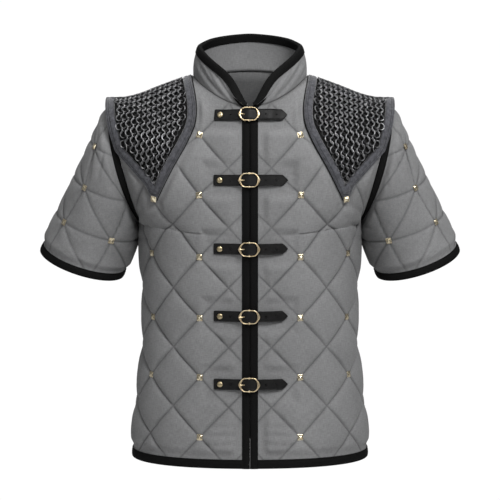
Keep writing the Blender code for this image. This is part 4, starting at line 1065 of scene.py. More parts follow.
def grid_wall(outer, inner, closed=False):
    """A wall between two grids of the same size. A closed one joins its last row to its first."""
    outer, inner = np.asarray(outer), np.asarray(inner)
    rows, columns = outer.shape[:2]
    points = np.concatenate([outer.reshape(-1, 3), inner.reshape(-1, 3)])
    offset = rows * columns
    faces = []
    for row in range(rows if closed else rows - 1):
        here, following = row * columns, (row + 1) % rows * columns
        for column in range(columns - 1):
            quad = (here + column, here + column + 1, following + column + 1, following + column)
            faces += [quad, tuple(offset + vertex for vertex in quad[::-1])]
        faces.append((here, following, following + offset, here + offset))
        last = columns - 1
        faces.append((following + last, here + last, here + last + offset, following + last + offset))
    if not closed:
        for row, order in ((0, 1), (rows - 1, -1)):
            for column in range(columns - 1):
                start = row * columns + column
                end_face = (start, start + offset, start + 1 + offset, start + 1)
                faces.append(end_face[::order])
    return points, faces


def both_faces(uvs):
    """One grid of places on the cloth, for a wall's outer and inner points."""
    flat = np.array(uvs)
    flat = flat.reshape(-1, flat.shape[-1])
    return np.concatenate([flat, flat])


def swept(sections, closed=False):
    """A bar through sections that all have the same number of corners."""
    sections = np.asarray(sections)
    count, corners = sections.shape[:2]
    faces = []
    for n in range(count if closed else count - 1):
        here, following = n * corners, (n + 1) % count * corners
        for corner in range(corners):
            after = (corner + 1) % corners
            faces.append((here + corner, here + after, following + after, following + corner))
    if not closed:
        faces.append(tuple(range(corners))[::-1])
        faces.append(tuple(range((count - 1) * corners, count * corners)))
    return sections.reshape(-1, 3), faces


# ---------------------------------------------------------------- finer bindings
def binding_section(width, wall):
    """A folded strip's rounded section round a cut edge: distance in from the edge, height above the cloth.
    A row of stitches presses a groove near its inner edge."""
    over, under = SEAM_GAP, -(wall + 2 * SEAM_GAP)
    middle = (over + under) / 2
    face = [(share * width + further, rise) for share, further, rise in BINDING_FACE]
    top = [(u, over + BINDING * rise) for u, rise in face]
    bottom = [(u, under - BINDING * min(rise, 1)) for u, rise in face[::-1]]
    turn = [(-FOLD_REACH * (SEAM_GAP + BINDING), middle)]
    inside = [(width, under), (-SEAM_GAP, under), (-SEAM_GAP, over), (width, over)]
    return top + turn + bottom + inside


def bound_edge(frames, width, wall, closed=False):
    """frames lists (edge point, direction into the cloth, direction out of it)."""
    section = binding_section(width, wall)
    sections = [[point + inward * u + out * w for u, w in section] for point, inward, out in frames]
    return swept(sections, closed)


def front_edge_frames():
    frames = []
    for level in np.linspace(0, HEM_LEVEL, FRONT_EDGE_STATIONS):
        length = row_length(FRONT, level)
        point, _, out = torso_frame(FRONT, level, FRONT_EDGE / length)
        first_cell = torso_point(FRONT, level, (2 * CELL - FRONT_COLUMN_SHIFT) / length)
        frames.append((point, unit(first_cell - point), unit(out * (0, 1, 1))))
    lowest, inward, out = frames[-1]
    return frames + [(lowest - (0, 0, HEM_OVERHANG), inward, out)]


def row_frames(side, lengths):
    """Frames along the hem, where lengths run from the centre."""
    points, downs, outs = torso_frame(side, HEM_LEVEL, lengths / row_length(side, HEM_LEVEL))
    return list(zip(points, -downs, outs))


def hem_frames():
    """Round the whole hem, from the right front's edge by the back to the left front's."""
    front = row_length(FRONT, HEM_LEVEL)
    start = FRONT_BINDING_WIDTH - HEM_UNDER_FRONT
    quarter = row_frames(FRONT, np.linspace(start, front, HEM_STATIONS))
    back = row_frames(BACK, np.linspace(0, row_length(BACK, HEM_LEVEL), HEM_STATIONS)[:-1])
    return flipped(quarter) + flipped(back[1:])[::-1] + back + quarter[::-1]


def flipped(frames):
    return [tuple(mirrored(vector, -1) for vector in one) for one in frames]


def cuff_frames():
    return [sleeve_frame(turn, 0) for turn in full_turn(CUFF_STATIONS)]


def armhole_band():
    """A rounded ring on the seam between body and sleeve."""
    outwards = armhole_outwards()
    centre = (armhole_point(FRONT, 0) + armhole_point(FRONT, math.pi)) / 2
    shares = np.linspace(0, 1, BAND_COLUMNS)
    sections = []
    for turn in full_turn(CUFF_STATIONS):
        side, half_turn = (FRONT, turn) if turn <= math.pi else (BACK, math.tau - turn)
        edge = armhole_point(side, half_turn)
        inward = unit(centre - edge) * ARMHOLE_BAND_WALL
        near = outwards * 2 * SEAM_GAP
        far = outwards * (band_width(half_turn) + 2 * SEAM_GAP)
        across = [(share, BAND_CROWN * math.sin(math.pi * share) **BAND_ROUNDNESS) for share in shares]
        top = [edge + near + (far - near) * share - unit(inward) * rise for share, rise in across]
        sections.append(top + [edge + far + inward, edge + near + inward])
    return swept(sections, closed=True)


# ---------------------------------------------------------------- finer sleeves
def sleeve_grid():
    """Points and outward directions over the stitched form of the left sleeve: turns by shares of
    the height."""
    turns = np.arange(SLEEVE_TURNS) * math.tau / SLEEVE_TURNS - math.pi
    shares = np.linspace(0, 1, SLEEVE_ROWS)
    grid, lengths = [], []
    for turn in turns:
        points, along = sleeve_line(turn)
        where = shares * along[-1]
        grid.append(at_length(points, along, where))
        lengths.append(along[-1])
    grid = np.array(grid)
    up = np.gradient(grid, axis=1)
    beside = np.roll(grid, -1, axis=0) - np.roll(grid, 1, axis=0)
    outs = unit(np.cross(up, beside))
    outwards = armhole_outwards()
    last = outs[:, -1] - (outs[:, -1] @ outwards)[:, None] * outwards
    outs[:, -1] = unit(last)
    return turns, shares, np.array(lengths), grid, outs


def sleeve_pattern():
    """Heights that the crossing stitch lines pass, the first line's angle at each, and the angle between
    two lines."""
    levels = (0.0, *HOOP_HEIGHTS, HOOP_HEIGHTS[-1] + ABOVE_LAST_HOOP)
    below, above = HOOP_STUD_ENDS
    angles = [math.radians(angle) for angle in (below, *HOOP_STUD_ANGLES, above)]
    return levels, angles, math.tau / STUDS_ROUND


def stitch_distances(turns, heights):
    """How far many places on the sleeve, by turn and height, are from the nearest stitched hoop or line."""
    radius = cuff_radius()
    levels, angles, pitch = sleeve_pattern()
    nearest = np.min([np.abs(heights - hoop) for hoop in HOOP_HEIGHTS], axis=0)
    for n in range(len(levels) - 1):
        inside = (levels[n] <= heights) & (heights <= levels[n + 1])
        share = (heights - levels[n]) / (levels[n + 1] - levels[n])
        for skip in (0, 1):
            swing = angles[n] + skip * pitch - angles[n + 1]
            away = (turns - angles[n + 1] - swing * (1 - share) + pitch / 2) % pitch - pitch / 2
            slope = swing * radius / (levels[n + 1] - levels[n])
            distance = np.abs(away) * radius / math.hypot(1, slope)
            nearest = np.where(inside, np.minimum(nearest, distance), nearest)
    return nearest


def sleeve_fullness(heights, lengths):
    """0 at the cuff's binding and the armhole's seam, 1 away from them."""
    return ramp(heights, PADDED_CUFF) * ramp(lengths - heights, PADDED_SEAM)


def fine_sleeve():
    turns, shares, lengths, grid, outs = sleeve_grid()
    heights = shares[None, :] * lengths[:, None]
    around = np.repeat(turns[:, None], SLEEVE_ROWS, axis=1)
    away = stitch_distances(around, heights)
    rise = SLEEVE_LIFT + FINE_SLEEVE_PUFF * pillow(away, 2 * SLEEVE_PUFF_RUN)
    edges = sleeve_fullness(heights, lengths[:, None])
    radius = cuff_radius()
    creases = []
    for turn, height, last_turn, last_height, half_width, depth in SLEEVE_CREASES:
        ends = math.radians(turn) * radius, height, math.radians(last_turn) * radius, last_height
        creases.append((*ends, half_width, depth))
    folds = creased((around * radius).ravel(), heights.ravel(), creases)
    folds += unevenness(grid.reshape(-1, 3), seed=9.0)
    rise = edges * (rise + folds.reshape(rise.shape))
    outer = grid + outs * rise[..., None]
    inner = grid - outs * CLOTH
    # Painted shade along the stitch lines and under the arm
    shade = seam_shade(away) + underarm_shade(grid)
    uvs = np.stack([around * radius, heights, shade], axis=-1).reshape(-1, 3)
    points, faces = grid_wall(outer, inner, closed=True)
    # The inner face gets a painted shade of 1, as if in shadow
    return points, faces, np.concatenate([uvs, uvs * (1, 1, 0) + (0, 0, 1)])


# ---------------------------------------------------------------- finer collar
def fine_collar():
    """Both faces of the stand, from its right front end round the back to its left."""
    rises = np.linspace(0, 1, COLLAR_ROWS)
    up = rises * COLLAR_HEIGHT[-1][1]
    outer, inner, uvs = [], [], []
    for share in fine_collar_shares():
        _, length = neckline(share)
        height = read_table(COLLAR_HEIGHT, 1, length)
        lengths = np.full(COLLAR_ROWS, length)
        shown, plain = [np.array([collar_point(share, rise, depth) for rise in rises]) for depth in (0, 1)]
        relief = creased(lengths, up, scaled_collar_creases())
        relief += COLLAR_UNEVEN * unevenness(shown, seed=5.0)
        below_top = (1 - rises) * height
        relief *= smooth(rises / COLLAR_FOOT) * ramp(below_top, COLLAR_TOP)
        outer.append(shown + unit(shown[-1] * (1, 1, 0)) * relief[:, None])
        plain[0] -= (0, 0, COLLAR_UNDERLAP)
        inner.append(plain)
        # The third value is painted shade along the neckline seam
        uvs.append(np.stack([lengths, up, seam_shade(rises * height)], axis=-1))
    halves = [np.array(half) for half in (outer, inner, uvs)]
    outer, inner, uvs = [np.concatenate([mirrored(half, -1), half[-2::-1]]) for half in halves]
    return *grid_wall(outer, inner), both_faces(uvs)


def scaled_collar_creases():
    full = COLLAR_HEIGHT[-1][1]
    return [(a, b * full, c, d * full, e, f) for a, b, c, d, e, f in COLLAR_CREASES]


def fine_collar_shares():
    """From the centre front, where they are closer, to the centre back."""
    start = COLLAR_START / half_neckline()
    return start + (1 - start) * np.linspace(0, 1, COLLAR_COLUMNS) ** COLLAR_CLOSENESS


def collar_edge_frames():
    """The top edge, with the direction square to it within the cloth."""
    frames = []
    for share in fine_collar_shares():
        before, after = max(share - COLLAR_STEP, 0), min(share + COLLAR_STEP, 1)
        along = unit(collar_point(after, 1, 0) - collar_point(before, 1, 0))
        if share == 1:
            along = np.array([-1.0, 0.0, 0.0])
        top = collar_point(share, 1, 0)
        down = collar_point(share, 1 - COLLAR_PROBE, 0) - top
        inward = unit(down - np.dot(down, along) * along)
        width = ramp(share * half_neckline(), (0, COLLAR_END_RUN))
        width = COLLAR_END_WIDTH + (1 - COLLAR_END_WIDTH) * width
        frames.append((top, inward * width, unit(np.cross(inward, along))))
    return flipped(frames) + frames[:-1][::-1]


# ---------------------------------------------------------------- mail
def patch_grid(side):
    """Points and outward directions over the patch: along from the ridge by across from the inner edge."""
    alongs = np.linspace(0, 1, PATCH_GRID[0])
    acrosses = np.linspace(0, 1, PATCH_GRID[1])
    grid = [[patch_point(side, along, across) for across in acrosses] for along in alongs]
    points = np.array([[point for point, _ in row] for row in grid])
    outs = np.array([[out for _, out in row] for row in grid])
    return points, outs


def hanging_line(points, outs, x):
    """Where the patch is cut by a plane at x, from the ridge down, with the directions out of it."""
    line, directions = [], []
    for row, row_outs in zip(points, outs):
        if not row[0, 0] <= x <= row[-1, 0]:
            continue
        line.append(at_length(row, row[:, 0], x))
        directions.append(at_length(row_outs, row[:, 0], x))
    return np.array(line), np.array(directions)


def ring(centre, down, out, tilt):
    """One round link, and how far back each of its corners lies, from 0 to 1, which the steel paints as
    shade. It is turned by the tilt about the line that it hangs in, and pressed flat."""
    across = np.cross(down, out)
    sections, behind = [], []
    for turn in full_turn(RING_SEGMENTS):
        flat = math.cos(turn) * math.cos(tilt)
        deep = RING_PRESSED * math.cos(turn) * math.sin(tilt)
        away = across * flat + out * deep + down * math.sin(turn)
        side = unit(away)
        hole = unit(np.cross(across * math.cos(tilt) + out * RING_PRESSED * math.sin(tilt), down))
        corners = []
        for angle in full_turn(WIRE_SIDES):
            angle += math.pi / WIRE_SIDES
            rim = side * math.cos(angle) + hole * math.sin(angle)
            corners.append(centre + away * RING_RADIUS + rim * RING_WIRE / 2)
            # For painted shade: 1 on the half of the link that lies behind, 0 on the front
            behind.append((0, 0, 0.5 - 0.5 * math.copysign(1, tilt) * math.cos(turn)))
        sections.append(corners)
    return swept(sections, closed=True), behind


def ring_places():
    """(centre, down, out, tilt) of every link: each hangs in two above it, on both sides of the shoulder."""
    places = []
    grids = {side: patch_grid(side) for side in (FRONT, BACK)}
    middle = grids[FRONT][0][round(RING_ROW_SHARE * (PATCH_GRID[0] - 1))]
    spread = lengths_along(middle)
    columns = np.arange(0, spread[-1] + 4 * RING_PITCH, RING_PITCH / 2)
    slopes = (middle[-1] - middle[-2]) / (spread[-1] - spread[-2])
    past = np.maximum(columns - spread[-1], 0)
    xs = np.interp(columns, spread, middle[:, 0]) + slopes[0] * past
    rims = [rim_line(edge) for edge in (0, 1)]
    for column, x in enumerate(xs):
        for side, (points, outs) in grids.items():
            line, directions = hanging_line(points, outs, x)
            if len(line) < 3:
                continue
            below_ridge = lengths_along(line) + ridge_gap(line)
            for row in range(0 if side == FRONT else 1, MOST_RING_ROWS):
                where = row * RING_STEP
                if (row + column) % 2 or where > below_ridge[-1]:
                    continue
                centre = at_length(line, below_ridge, where)
                if min(distance_to_line(centre, rim) for rim in rims) < RING_CLEAR * VELVET_WIDTH:
                    continue
                out = unit(at_length(directions, below_ridge, where))
                ahead = at_length(line, below_ridge, min(where + RING_STEP / 2, below_ridge[-1]))
                back = at_length(line, below_ridge, max(where - RING_STEP / 2, 0))
                down = unit(ahead - back)
                if row == 0:
                    down = np.array([0.0, -1.0, 0.0])
                    out = out * (1, 0, 1)
                out = unit(out - np.dot(out, down) * down)
                tilt = RING_TILT * min(1, RIDGE_TILT + where / RIDGE_RUN) * (1 if row % 2 else -1)
                places.append((centre + out * RING_LIFT, down, out, tilt))
    return places


def ridge_gap(line):
    """The length from the shoulder ridge to the line's start, for one that starts below it."""
    return abs(line[0, 1])


def borders_meet(along):
    return patch_width(FRONT, along) < NARROWEST_MAIL * VELVET_WIDTH


def mail_reach():
    """The share of the patch's length at which its two borders meet."""
    return next(n / REACH_STEPS for n in range(REACH_STEPS) if borders_meet(n / REACH_STEPS))


def linked_mail():
    links, shades = [], []
    for centre, down, out, tilt in ring_places():
        swing = RING_UNEVEN * noise.noise(Vector(centre * RING_UNEVEN_SCALE))
        link, behind = ring(centre, down, out, tilt * (1 + swing))
        links.append(link)
        shades += behind
    return *joined(*links), np.array(shades)


def mail_backing():
    """The black cloth that the links are sewn to. Its edges lie under the border."""
    reach = mail_reach()
    outer, inner, uvs = [], [], []
    alongs = np.linspace(0, 1, BACKING_ROWS)
    stations = [(FRONT, along) for along in alongs[:0:-1]] + [(BACK, along) for along in alongs]
    for number, (side, along) in enumerate(stations):
        along = min(along, 1 - MAIL_TIP_CUT) * reach
        first = share_inside(side, along, 0, BACKING_OVERLAP * VELVET_WIDTH)
        last = 1 - share_inside(side, along, 1, BACKING_OVERLAP * VELVET_WIDTH)
        row = [patch_point(side, along, across) for across in np.linspace(first, last, BACKING_COLUMNS)]
        outer.append([point + out * (BACKING_LIFT + BACKING_WALL) for point, out in row])
        inner.append([point + out * BACKING_LIFT for point, out in row])
        across = np.linspace(0, np.linalg.norm(row[-1][0] - row[0][0]), BACKING_COLUMNS)
        uvs.append([(u, number * BACKING_WEAVE) for u in across])
    return *grid_wall(outer, inner), both_faces(uvs)


# ---------------------------------------------------------------- velvet border
def border_stations():
    """(side, along, edge) along the inner edge from the front tip over the shoulder to the back tip, and
    back by the outer edge."""
    alongs = np.linspace(0, 1, BORDER_STATIONS)
    over = [(FRONT, along) for along in alongs[:0:-1]] + [(BACK, along) for along in alongs]
    inner = [(side, along, 0) for side, along in over]
    outer = [(side, along, 1) for side, along in over[1:-1]]
    return inner + outer[::-1]


def velvet_ripple(run, across):
    return 1 + RIPPLE * noise.noise(Vector((run / RIPPLE_LENGTH, across * RIPPLES_ACROSS, 3.0)))


def velvet_ring():
    """A padded, ribbed band along the patch's whole edge."""
    reach = mail_reach()
    outer, inner, uvs = [], [], []
    shares, rises = zip(*BORDER_SECTION)
    run = 0.0
    previous = None
    for side, along, edge in border_stations():
        share = share_inside(side, along * reach, edge, VELVET_WIDTH)
        section = []
        for across in shares:
            toward = along * (1 - across * (1 - reach))
            section.append(patch_point(side, toward, abs(edge - share * across)))
        if previous is not None:
            run += np.linalg.norm(section[0][0] - previous)
        previous = section[0][0]
        ripple = [velvet_ripple(run, across) for across in shares]
        lifts = [BORDER_LIFT + VELVET_HEIGHT * rise * wave for rise, wave in zip(rises, ripple)]
        outer.append([point + out * lift for (point, out), lift in zip(section, lifts)])
        inner.append([point + out * BORDER_LIFT for point, out in section])
        # The third value is painted shade: darker where the border is low, in its grooves and at its rims
        uvs.append([(across * VELVET_WIDTH, run, 1 - rise) for across, rise in zip(shares, rises)])
    return *grid_wall(outer, inner, closed=True), both_faces(uvs)


def piping():
    """A thin dark cord along the border's inner rim, which shows beside the cloth."""
    sections = []
    for side, along, edge in border_stations():
        if edge == 1:
            continue
        point, out = patch_point(side, along, 0)
        inward = unit(patch_point(side, along, 0.1)[0] - point)
        centre = point - inward * PIPING_OUTSIDE + out * (BORDER_LIFT + PIPING_RADIUS)
        turns = full_turn(PIPING_SIDES)
        sections.append([centre + PIPING_RADIUS * (inward * math.cos(t) + out * math.sin(t)) for t in turns])
    return swept(sections)


# ---------------------------------------------------------------- closures
def front_frame(x, height):
    """The cloth's stitched form near the centre front, on either side of it."""
    level = (FRONT_TOP_Z - height) / LEVEL_STEP
    for _ in range(LEVEL_TRIES):
        found = torso_point(FRONT, max(level, 0), abs(x) / row_length(FRONT, max(level, 0)))
        level += (found[2] - height) / LEVEL_STEP
    level = max(level, 0)
    point, down, out = torso_frame(FRONT, level, abs(x) / row_length(FRONT, level))
    hand = 1 if x >= 0 else -1
    return mirrored(point, hand), mirrored(down, hand), mirrored(out, hand)


def placement(x, height, above):
    """A matrix whose Z points out of the front, and Y up along it, at a height above the cloth."""
    point, down, out = front_frame(x, height)
    return upright_matrix(point + out * above, down, out)


def upright_matrix(place, down, out):
    right = unit(np.cross(-down, out))
    up = np.cross(out, right)
    matrix = Matrix.Identity(4)
    for row in range(3):
        matrix[row][0], matrix[row][1], matrix[row][2] = right[row], up[row], out[row]
        matrix[row][3] = place[row]
    return matrix


def strap_section(half_height, thickness):
    """Round edges, a creased line inside each, and a flat back: (height, rise above the underside)."""
    face = []
    for share, rise in STRAP_FACE:
        face.append((share * half_height, rise * thickness))
    top = [(-v, w) for v, w in face[::-1]] + face
    return top + [(half_height * STRAP_BACK, 0.0), (-half_height * STRAP_BACK, 0.0)]


def fine_strap(height):
    """The leather over the front's edges, pointed towards +X and riveted down at its other end."""
    sections = []
    first, last = STRAP_SHAPE[0][0], STRAP_SHAPE[-1][0]
    body = np.linspace(first, STRAP_TIP_START, STRAP_STATIONS)
    tip = np.linspace(STRAP_TIP_START, last, TIP_STATIONS)
    cuts = np.concatenate([body, tip[1:]])
    for x in cuts:
        underside = read_table(STRAP_SHAPE, 1, x)
        narrowing = max(0.0, (x - STRAP_TIP_START) / (last - STRAP_TIP_START))
        half_height = STRAP_HALF_HEIGHT * (1 - STRAP_TIP_NARROWING * narrowing**STRAP_TIP_POWER)
        thick = min(1.0, STRAP_END_THIN + (x - first) / STRAP_END_THIN_RUN)
        tall = min(1.0, STRAP_END_HEIGHT + (x - first) / STRAP_END_HEIGHT_RUN)
        section = strap_section(half_height * tall, STRAP_THICKNESS * thick)
        ends = [front_frame(x, height + hand * STRAP_HALF_HEIGHT) for hand in (-1, 1)]
        corners = []
        for v, w in section:
            share = 0.5 + 0.5 * v / STRAP_HALF_HEIGHT
            point = (1 - share) * ends[0][0] + share * ends[1][0]
            out = unit((1 - share) * ends[0][2] + share * ends[1][2])
            corners.append(point + out * (underside + w))
        sections.append(corners)
    return swept(sections)


def pierced(name, points, faces, height):
    """Cuts the holes for the prong through a strap's mesh."""
    strap = add_piece(name, points, faces, leather, smooth_angle=STRAP_ANGLE)
    tools = bmesh.new()
    for x in HOLE_XS:
        matrix = placement(x, height, read_table(STRAP_SHAPE, 1, x))
        size = {"radius1": HOLE_RADIUS, "radius2": HOLE_RADIUS, "depth": PUNCH_LENGTH}
        bmesh.ops.create_cone(tools, cap_ends=True, segments=HOLE_SIDES, matrix=matrix, **size)
    mesh = bpy.data.meshes.new("punch")
    tools.to_mesh(mesh)
    tools.free()
    punch = new_object("punch", mesh)
    cut = strap.modifiers.new("holes", "BOOLEAN")
    cut.operation = "DIFFERENCE"
    cut.solver = "EXACT"
    cut.object = punch
    bpy.context.view_layer.update()
    graph = bpy.context.evaluated_depsgraph_get()
    shaped = bpy.data.meshes.new_from_object(strap.evaluated_get(graph))
    strap.modifiers.clear()
    strap.data = shaped
    bpy.data.objects.remove(punch)
    return strap


def lathe(profile, segments=24):
    """Turned round Z: profile lists (radius, height) from the base's centre to the top's."""
    turns = full_turn(segments)
    return swept([[(r * math.cos(t), r * math.sin(t), h) for t in turns] for r, h in profile])


def tube(line, radii):
    """A round bar along a line of points, with a radius at each."""
    line = np.asarray(line, float)
    directions = unit(np.gradient(line, axis=0))
    first = unit(np.cross(directions[0], OFF_AXIS))
    sections = []
    for point, along, radius in zip(line, directions, radii):
        first = unit(first - np.dot(first, along) * along)
        second = np.cross(along, first)
        turns = full_turn(TUBE_SIDES)
        sections.append([point + radius * (first * math.cos(t) + second * math.sin(t)) for t in turns])
    return swept(sections)


def joined(*shapes):
    points, faces = [], []
    for more_points, more_faces in shapes:
        first = len(points)
        points += [tuple(point) for point in more_points]
        faces += [tuple(first + vertex for vertex in face) for face in more_faces]
    return np.array(points), faces


def moved(shape, matrix):
    points, faces = shape
    rotation = np.array(matrix.to_3x3())
    return np.asarray(points) @ rotation.T + np.array(matrix.translation), faces


def buckle_outline():
    """(x, y, half width of the wire) all round the frame, with its corners rounded."""
    quarter = list(BUCKLE_QUARTER)
    half = quarter + [(x, -y, wire) for x, y, wire in quarter[-2::-1]]
    corners = np.array(half + [(-x, y, wire) for x, y, wire in half[-2:0:-1]])
    rounded = []
    for before, corner, after in zip(np.roll(corners, 1, axis=0), corners, np.roll(corners, -1, axis=0)):
        start = corner + (before - corner) * BUCKLE_ROUNDING
        end = corner + (after - corner) * BUCKLE_ROUNDING
        for t in np.linspace(0, 1, BUCKLE_CORNER_STEPS):
            rounded.append((1 - t) ** 2 * start + 2 * t * (1 - t) * corner + t * t * end)
    return np.array(rounded)


def fine_buckle():
    """A rounded frame with thick pointed ends, a bar across its middle with a knob at each end, and
    a prong."""
    sections = []
    half_height = BUCKLE_QUARTER[0][1]
    for x, y, wire in buckle_outline():
        away = unit(np.array([x / BUCKLE_QUARTER[-1][0], y / half_height, 0]))
        corners = []
        for angle in full_turn(BUCKLE_SIDES):
            up = np.array([0, 0, BUCKLE_HALF_THICKNESS * math.sin(angle)])
            corners.append(np.array([x, y, 0]) + away * wire * math.cos(angle) + up)
        sections.append(corners)
    drop = CENTRE_BAR_HEIGHT - BUCKLE_HEIGHT
    ends = half_height + BAR_PAST_FRAME
    bar = tube([(0, y, drop) for y in np.linspace(-ends, ends, 5)], [CENTRE_BAR_RADIUS] * 5)
    shapes = [swept(sections, closed=True), bar]
    for end in (1, -1):
        place = Matrix.Translation((0, end * half_height, drop / 2 + KNOB_RISE))
        shapes.append(moved(lathe(KNOB_PROFILE, KNOB_SIDES), place))
    line = [(x, 0, z) for x, z, _ in PRONG]
    shapes.append(tube(line, [radius for _, _, radius in PRONG]))
    return joined(*shapes)


def fine_stud():
    """A square pyramid with a narrow rim and a small blunt top."""
    return swept([[(half * a, half * b, height) for a, b in STUD_OUTLINE] for half, height in STUD_PROFILE])


# ---------------------------------------------------------------- stitches
def stitch(start, end, out):
    """A short run of thread that rises out of the cloth and sinks back."""
    along = end - start
    across = unit(np.cross(along, out)) * THREAD / 2
    points = [start - out * THREAD / 2]
    for share in STITCH_TOP:
        base = start + along * share
        points += [base - across, base + out * THREAD * STITCH_RISE, base + across]
    points.append(end - out * THREAD / 2)
    faces = [(0, 2, 1), (0, 3, 2), (0, 1, 3), (7, 4, 5), (7, 5, 6), (7, 6, 4)]
    for n in range(3):
        after = (n + 1) % 3
        faces.append((1 + n, 1 + after, 4 + after, 4 + n))
    return points, faces


def torso_stitches(side):
    """Thread along the diamonds' lines on one half of the front or back."""
    dashes = []
    shift = column_shift(side)
    start = FRONT_BINDING_WIDTH if side == FRONT else 0.0
    turns = STITCH_PITCH / math.hypot(HALF_DIAMOND, LEVEL_STEP)
    for n in range(int(HEM_LEVEL / turns)):
        ends = []
        for level in (n * turns, (n + STITCH_SHARE) * turns):
            end = row_length(side, level)
            columns = (end + shift) / HALF_DIAMOND
            found = {}
            for slant in (1, -1):
                for line in STITCH_LINES:
                    column = line - slant * level
                    length = column * HALF_DIAMOND - shift
                    if start + STITCH_MARGIN < length < end - STITCH_MARGIN and column < columns:
                        found[slant, line] = length
            lengths = np.array(list(found.values()))
            points, _, outs = torso_frame(side, level, lengths / end)
            cover = patch_cover(side, level, lengths)
            ends.append({key: (points[i], outs[i], cover[i]) for i, key in enumerate(found)})
        for key in set(ends[0]) & set(ends[1]):
            (a, out, covered), (b, _, _) = ends[0][key], ends[1][key]
            below_neck = n * turns * LEVEL_STEP > PADDED_SEAM[0]
            above_hem = (HEM_LEVEL - n * turns) * LEVEL_STEP > HEM_BINDING_WIDTH + STITCH_MARGIN
            if covered < 0.5 and below_neck and above_hem:
                lift = out * STITCH_LIFT
                dashes.append((a + lift, b + lift, out))
    return dashes


def sleeve_stitches():
    """Thread along the sleeve's hoops and the lines between them."""
    turns, _, lengths, grid, outs = sleeve_grid()
    levels, angles, pitch = sleeve_pattern()
    around = np.arange(HOOP_STEPS + 1) / HOOP_STEPS * math.tau
    lines = [[(turn, hoop) for turn in around] for hoop in HOOP_HEIGHTS]
    steps = np.linspace(0, 1, LINE_STEPS)
    for n in range(len(levels) - 1):
        for stud in range(STUDS_ROUND):
            for skip in (0, 1):
                first = angles[n] + (skip + stud) * pitch
                last = angles[n + 1] + stud * pitch
                climb = levels[n + 1] - levels[n]
                lines.append([(first + (last - first) * s, levels[n] + climb * s) for s in steps])
    dashes = []
    for line in lines:
        where = [sleeve_place(turn, height, turns, lengths, grid, outs) for turn, height in line]
        points = np.array([point for point, _, _ in where])
        along = lengths_along(points)
        for n in range(int(along[-1] / STITCH_PITCH)):
            begin, end = n * STITCH_PITCH, (n + STITCH_SHARE) * STITCH_PITCH
            i = min(int(np.searchsorted(along, begin)), len(line) - 1)
            height, room = line[i][1], where[i][2]
            if height < CUFF_BINDING_WIDTH + STITCH_MARGIN or room < PADDED_SEAM[0]:
                continue
            out = where[i][1]
            lift = out * STITCH_LIFT
            dashes.append((at_length(points, along, begin) + lift, at_length(points, along, end) + lift, out))
    return dashes


def sleeve_place(turn, height, turns, lengths, grid, outs):
    """A point and direction out, between the grid's columns, and what is left of the cloth above it."""
    position = (turn - turns[0]) % math.tau / (turns[1] - turns[0])
    low = int(position) % len(turns)
    high = (low + 1) % len(turns)
    share = position - int(position)
    length = (1 - share) * lengths[low] + share * lengths[high]
    place = min(height / length, 1.0) * (grid.shape[1] - 1)
    row = min(int(place), grid.shape[1] - 2)
    rise = place - row

    def between(table):
        near = (1 - rise) * table[low, row] + rise * table[low, row + 1]
        far = (1 - rise) * table[high, row] + rise * table[high, row + 1]
        return (1 - share) * near + share * far

    out = unit(between(outs))
    return between(grid) + out * SLEEVE_LIFT * sleeve_fullness(height, length), out, length - height


def thread_piece(name, dashes, hand):
    points, faces = joined(*[stitch(*dash) for dash in dashes])
    made = add_piece(name, mirrored(points, hand), faces, thread)
    return made


# ---------------------------------------------------------------- materials
class Shades:
    """A material's nodes, made by short calls."""

    def __init__(self, name):
        self.material = bpy.data.materials.new(name)
        self.material.use_nodes = True
        self.nodes = self.material.node_tree.nodes
        self.links = self.material.node_tree.links
        self.shader = self.nodes["Principled BSDF"]

    def node(self, kind, inputs=(), **settings):
        made = self.nodes.new(kind)
        for key, value in settings.items():
            setattr(made, key, value)
        for key, value in dict(inputs).items():
            if isinstance(value, bpy.types.NodeSocket):
                self.links.new(value, made.inputs[key])
            else:
                made.inputs[key].default_value = value
        return made

    def scaled(self, source, scale):
        where = self.node("ShaderNodeTexCoord" if source == "Object" else "ShaderNodeUVMap")
        if source == "UV":
            where.uv_map = "weave"
        scales = scale if source == "UV" else (scale, scale, scale)
        mapping = self.node("ShaderNodeMapping", {"Vector": where.outputs[source], "Scale": scales})
        return mapping.outputs[0]

    def noise(self, source, scale, detail=2.0, roughness=0.5):
        made = self.node("ShaderNodeTexNoise", {"Vector": self.scaled(source, scale), "Scale": 1.0})
        made.inputs["Detail"].default_value = detail
        made.inputs["Roughness"].default_value = roughness
        return made.outputs["Fac"]

    def spread(self, value, low, high, start, end):
        """value from low to high becomes start to end."""
        made = self.node("ShaderNodeMapRange", {"Value": value, "From Min": low, "From Max": high})
        made.inputs["To Min"].default_value = start
        made.inputs["To Max"].default_value = end
        return made.outputs[0]

    def mottled(self, scale, dark, light, span=(0.35, 0.65), detail=2.0, roughness=0.5):
        """Two colours in patches, with that many of them in a metre."""
        noise_value = self.noise("Object", scale, detail, roughness)
        return self.mixed(self.spread(noise_value, *span, 0.0, 1.0), dark, light)

    def maths(self, operation, first, second):
        made = self.node("ShaderNodeMath", {0: first, 1: second}, operation=operation)
        return made.outputs[0]

    def mixed(self, share, first, second):
        made = self.node("ShaderNodeMix", {"Factor": share}, data_type="RGBA")
        for key, value in ((6, first), (7, second)):
            if isinstance(value, bpy.types.NodeSocket):
                self.links.new(value, made.inputs[key])
            else:
                made.inputs[key].default_value = (*value, 1)
        return made.outputs[2]

    def shade(self):
        """The mesh's painted shade at each point: how deep it lies, and how close to a seam."""
        return self.node("ShaderNodeAttribute", attribute_name="shade").outputs["Fac"]

    def bump(self, height, distance, strength=1.0, under=None):
        made = self.node("ShaderNodeBump", {"Height": height, "Distance": distance, "Strength": strength})
        if under is not None:
            self.links.new(under, made.inputs["Normal"])
        return made.outputs[0]

    def set(self, **values):
        for key, value in values.items():
            socket = self.shader.inputs[key.replace("_", " ")]
            if isinstance(value, bpy.types.NodeSocket):
                self.links.new(value, socket)
            elif isinstance(value, tuple):
                socket.default_value = (*value, 1)
            else:
                socket.default_value = value
        return self.material


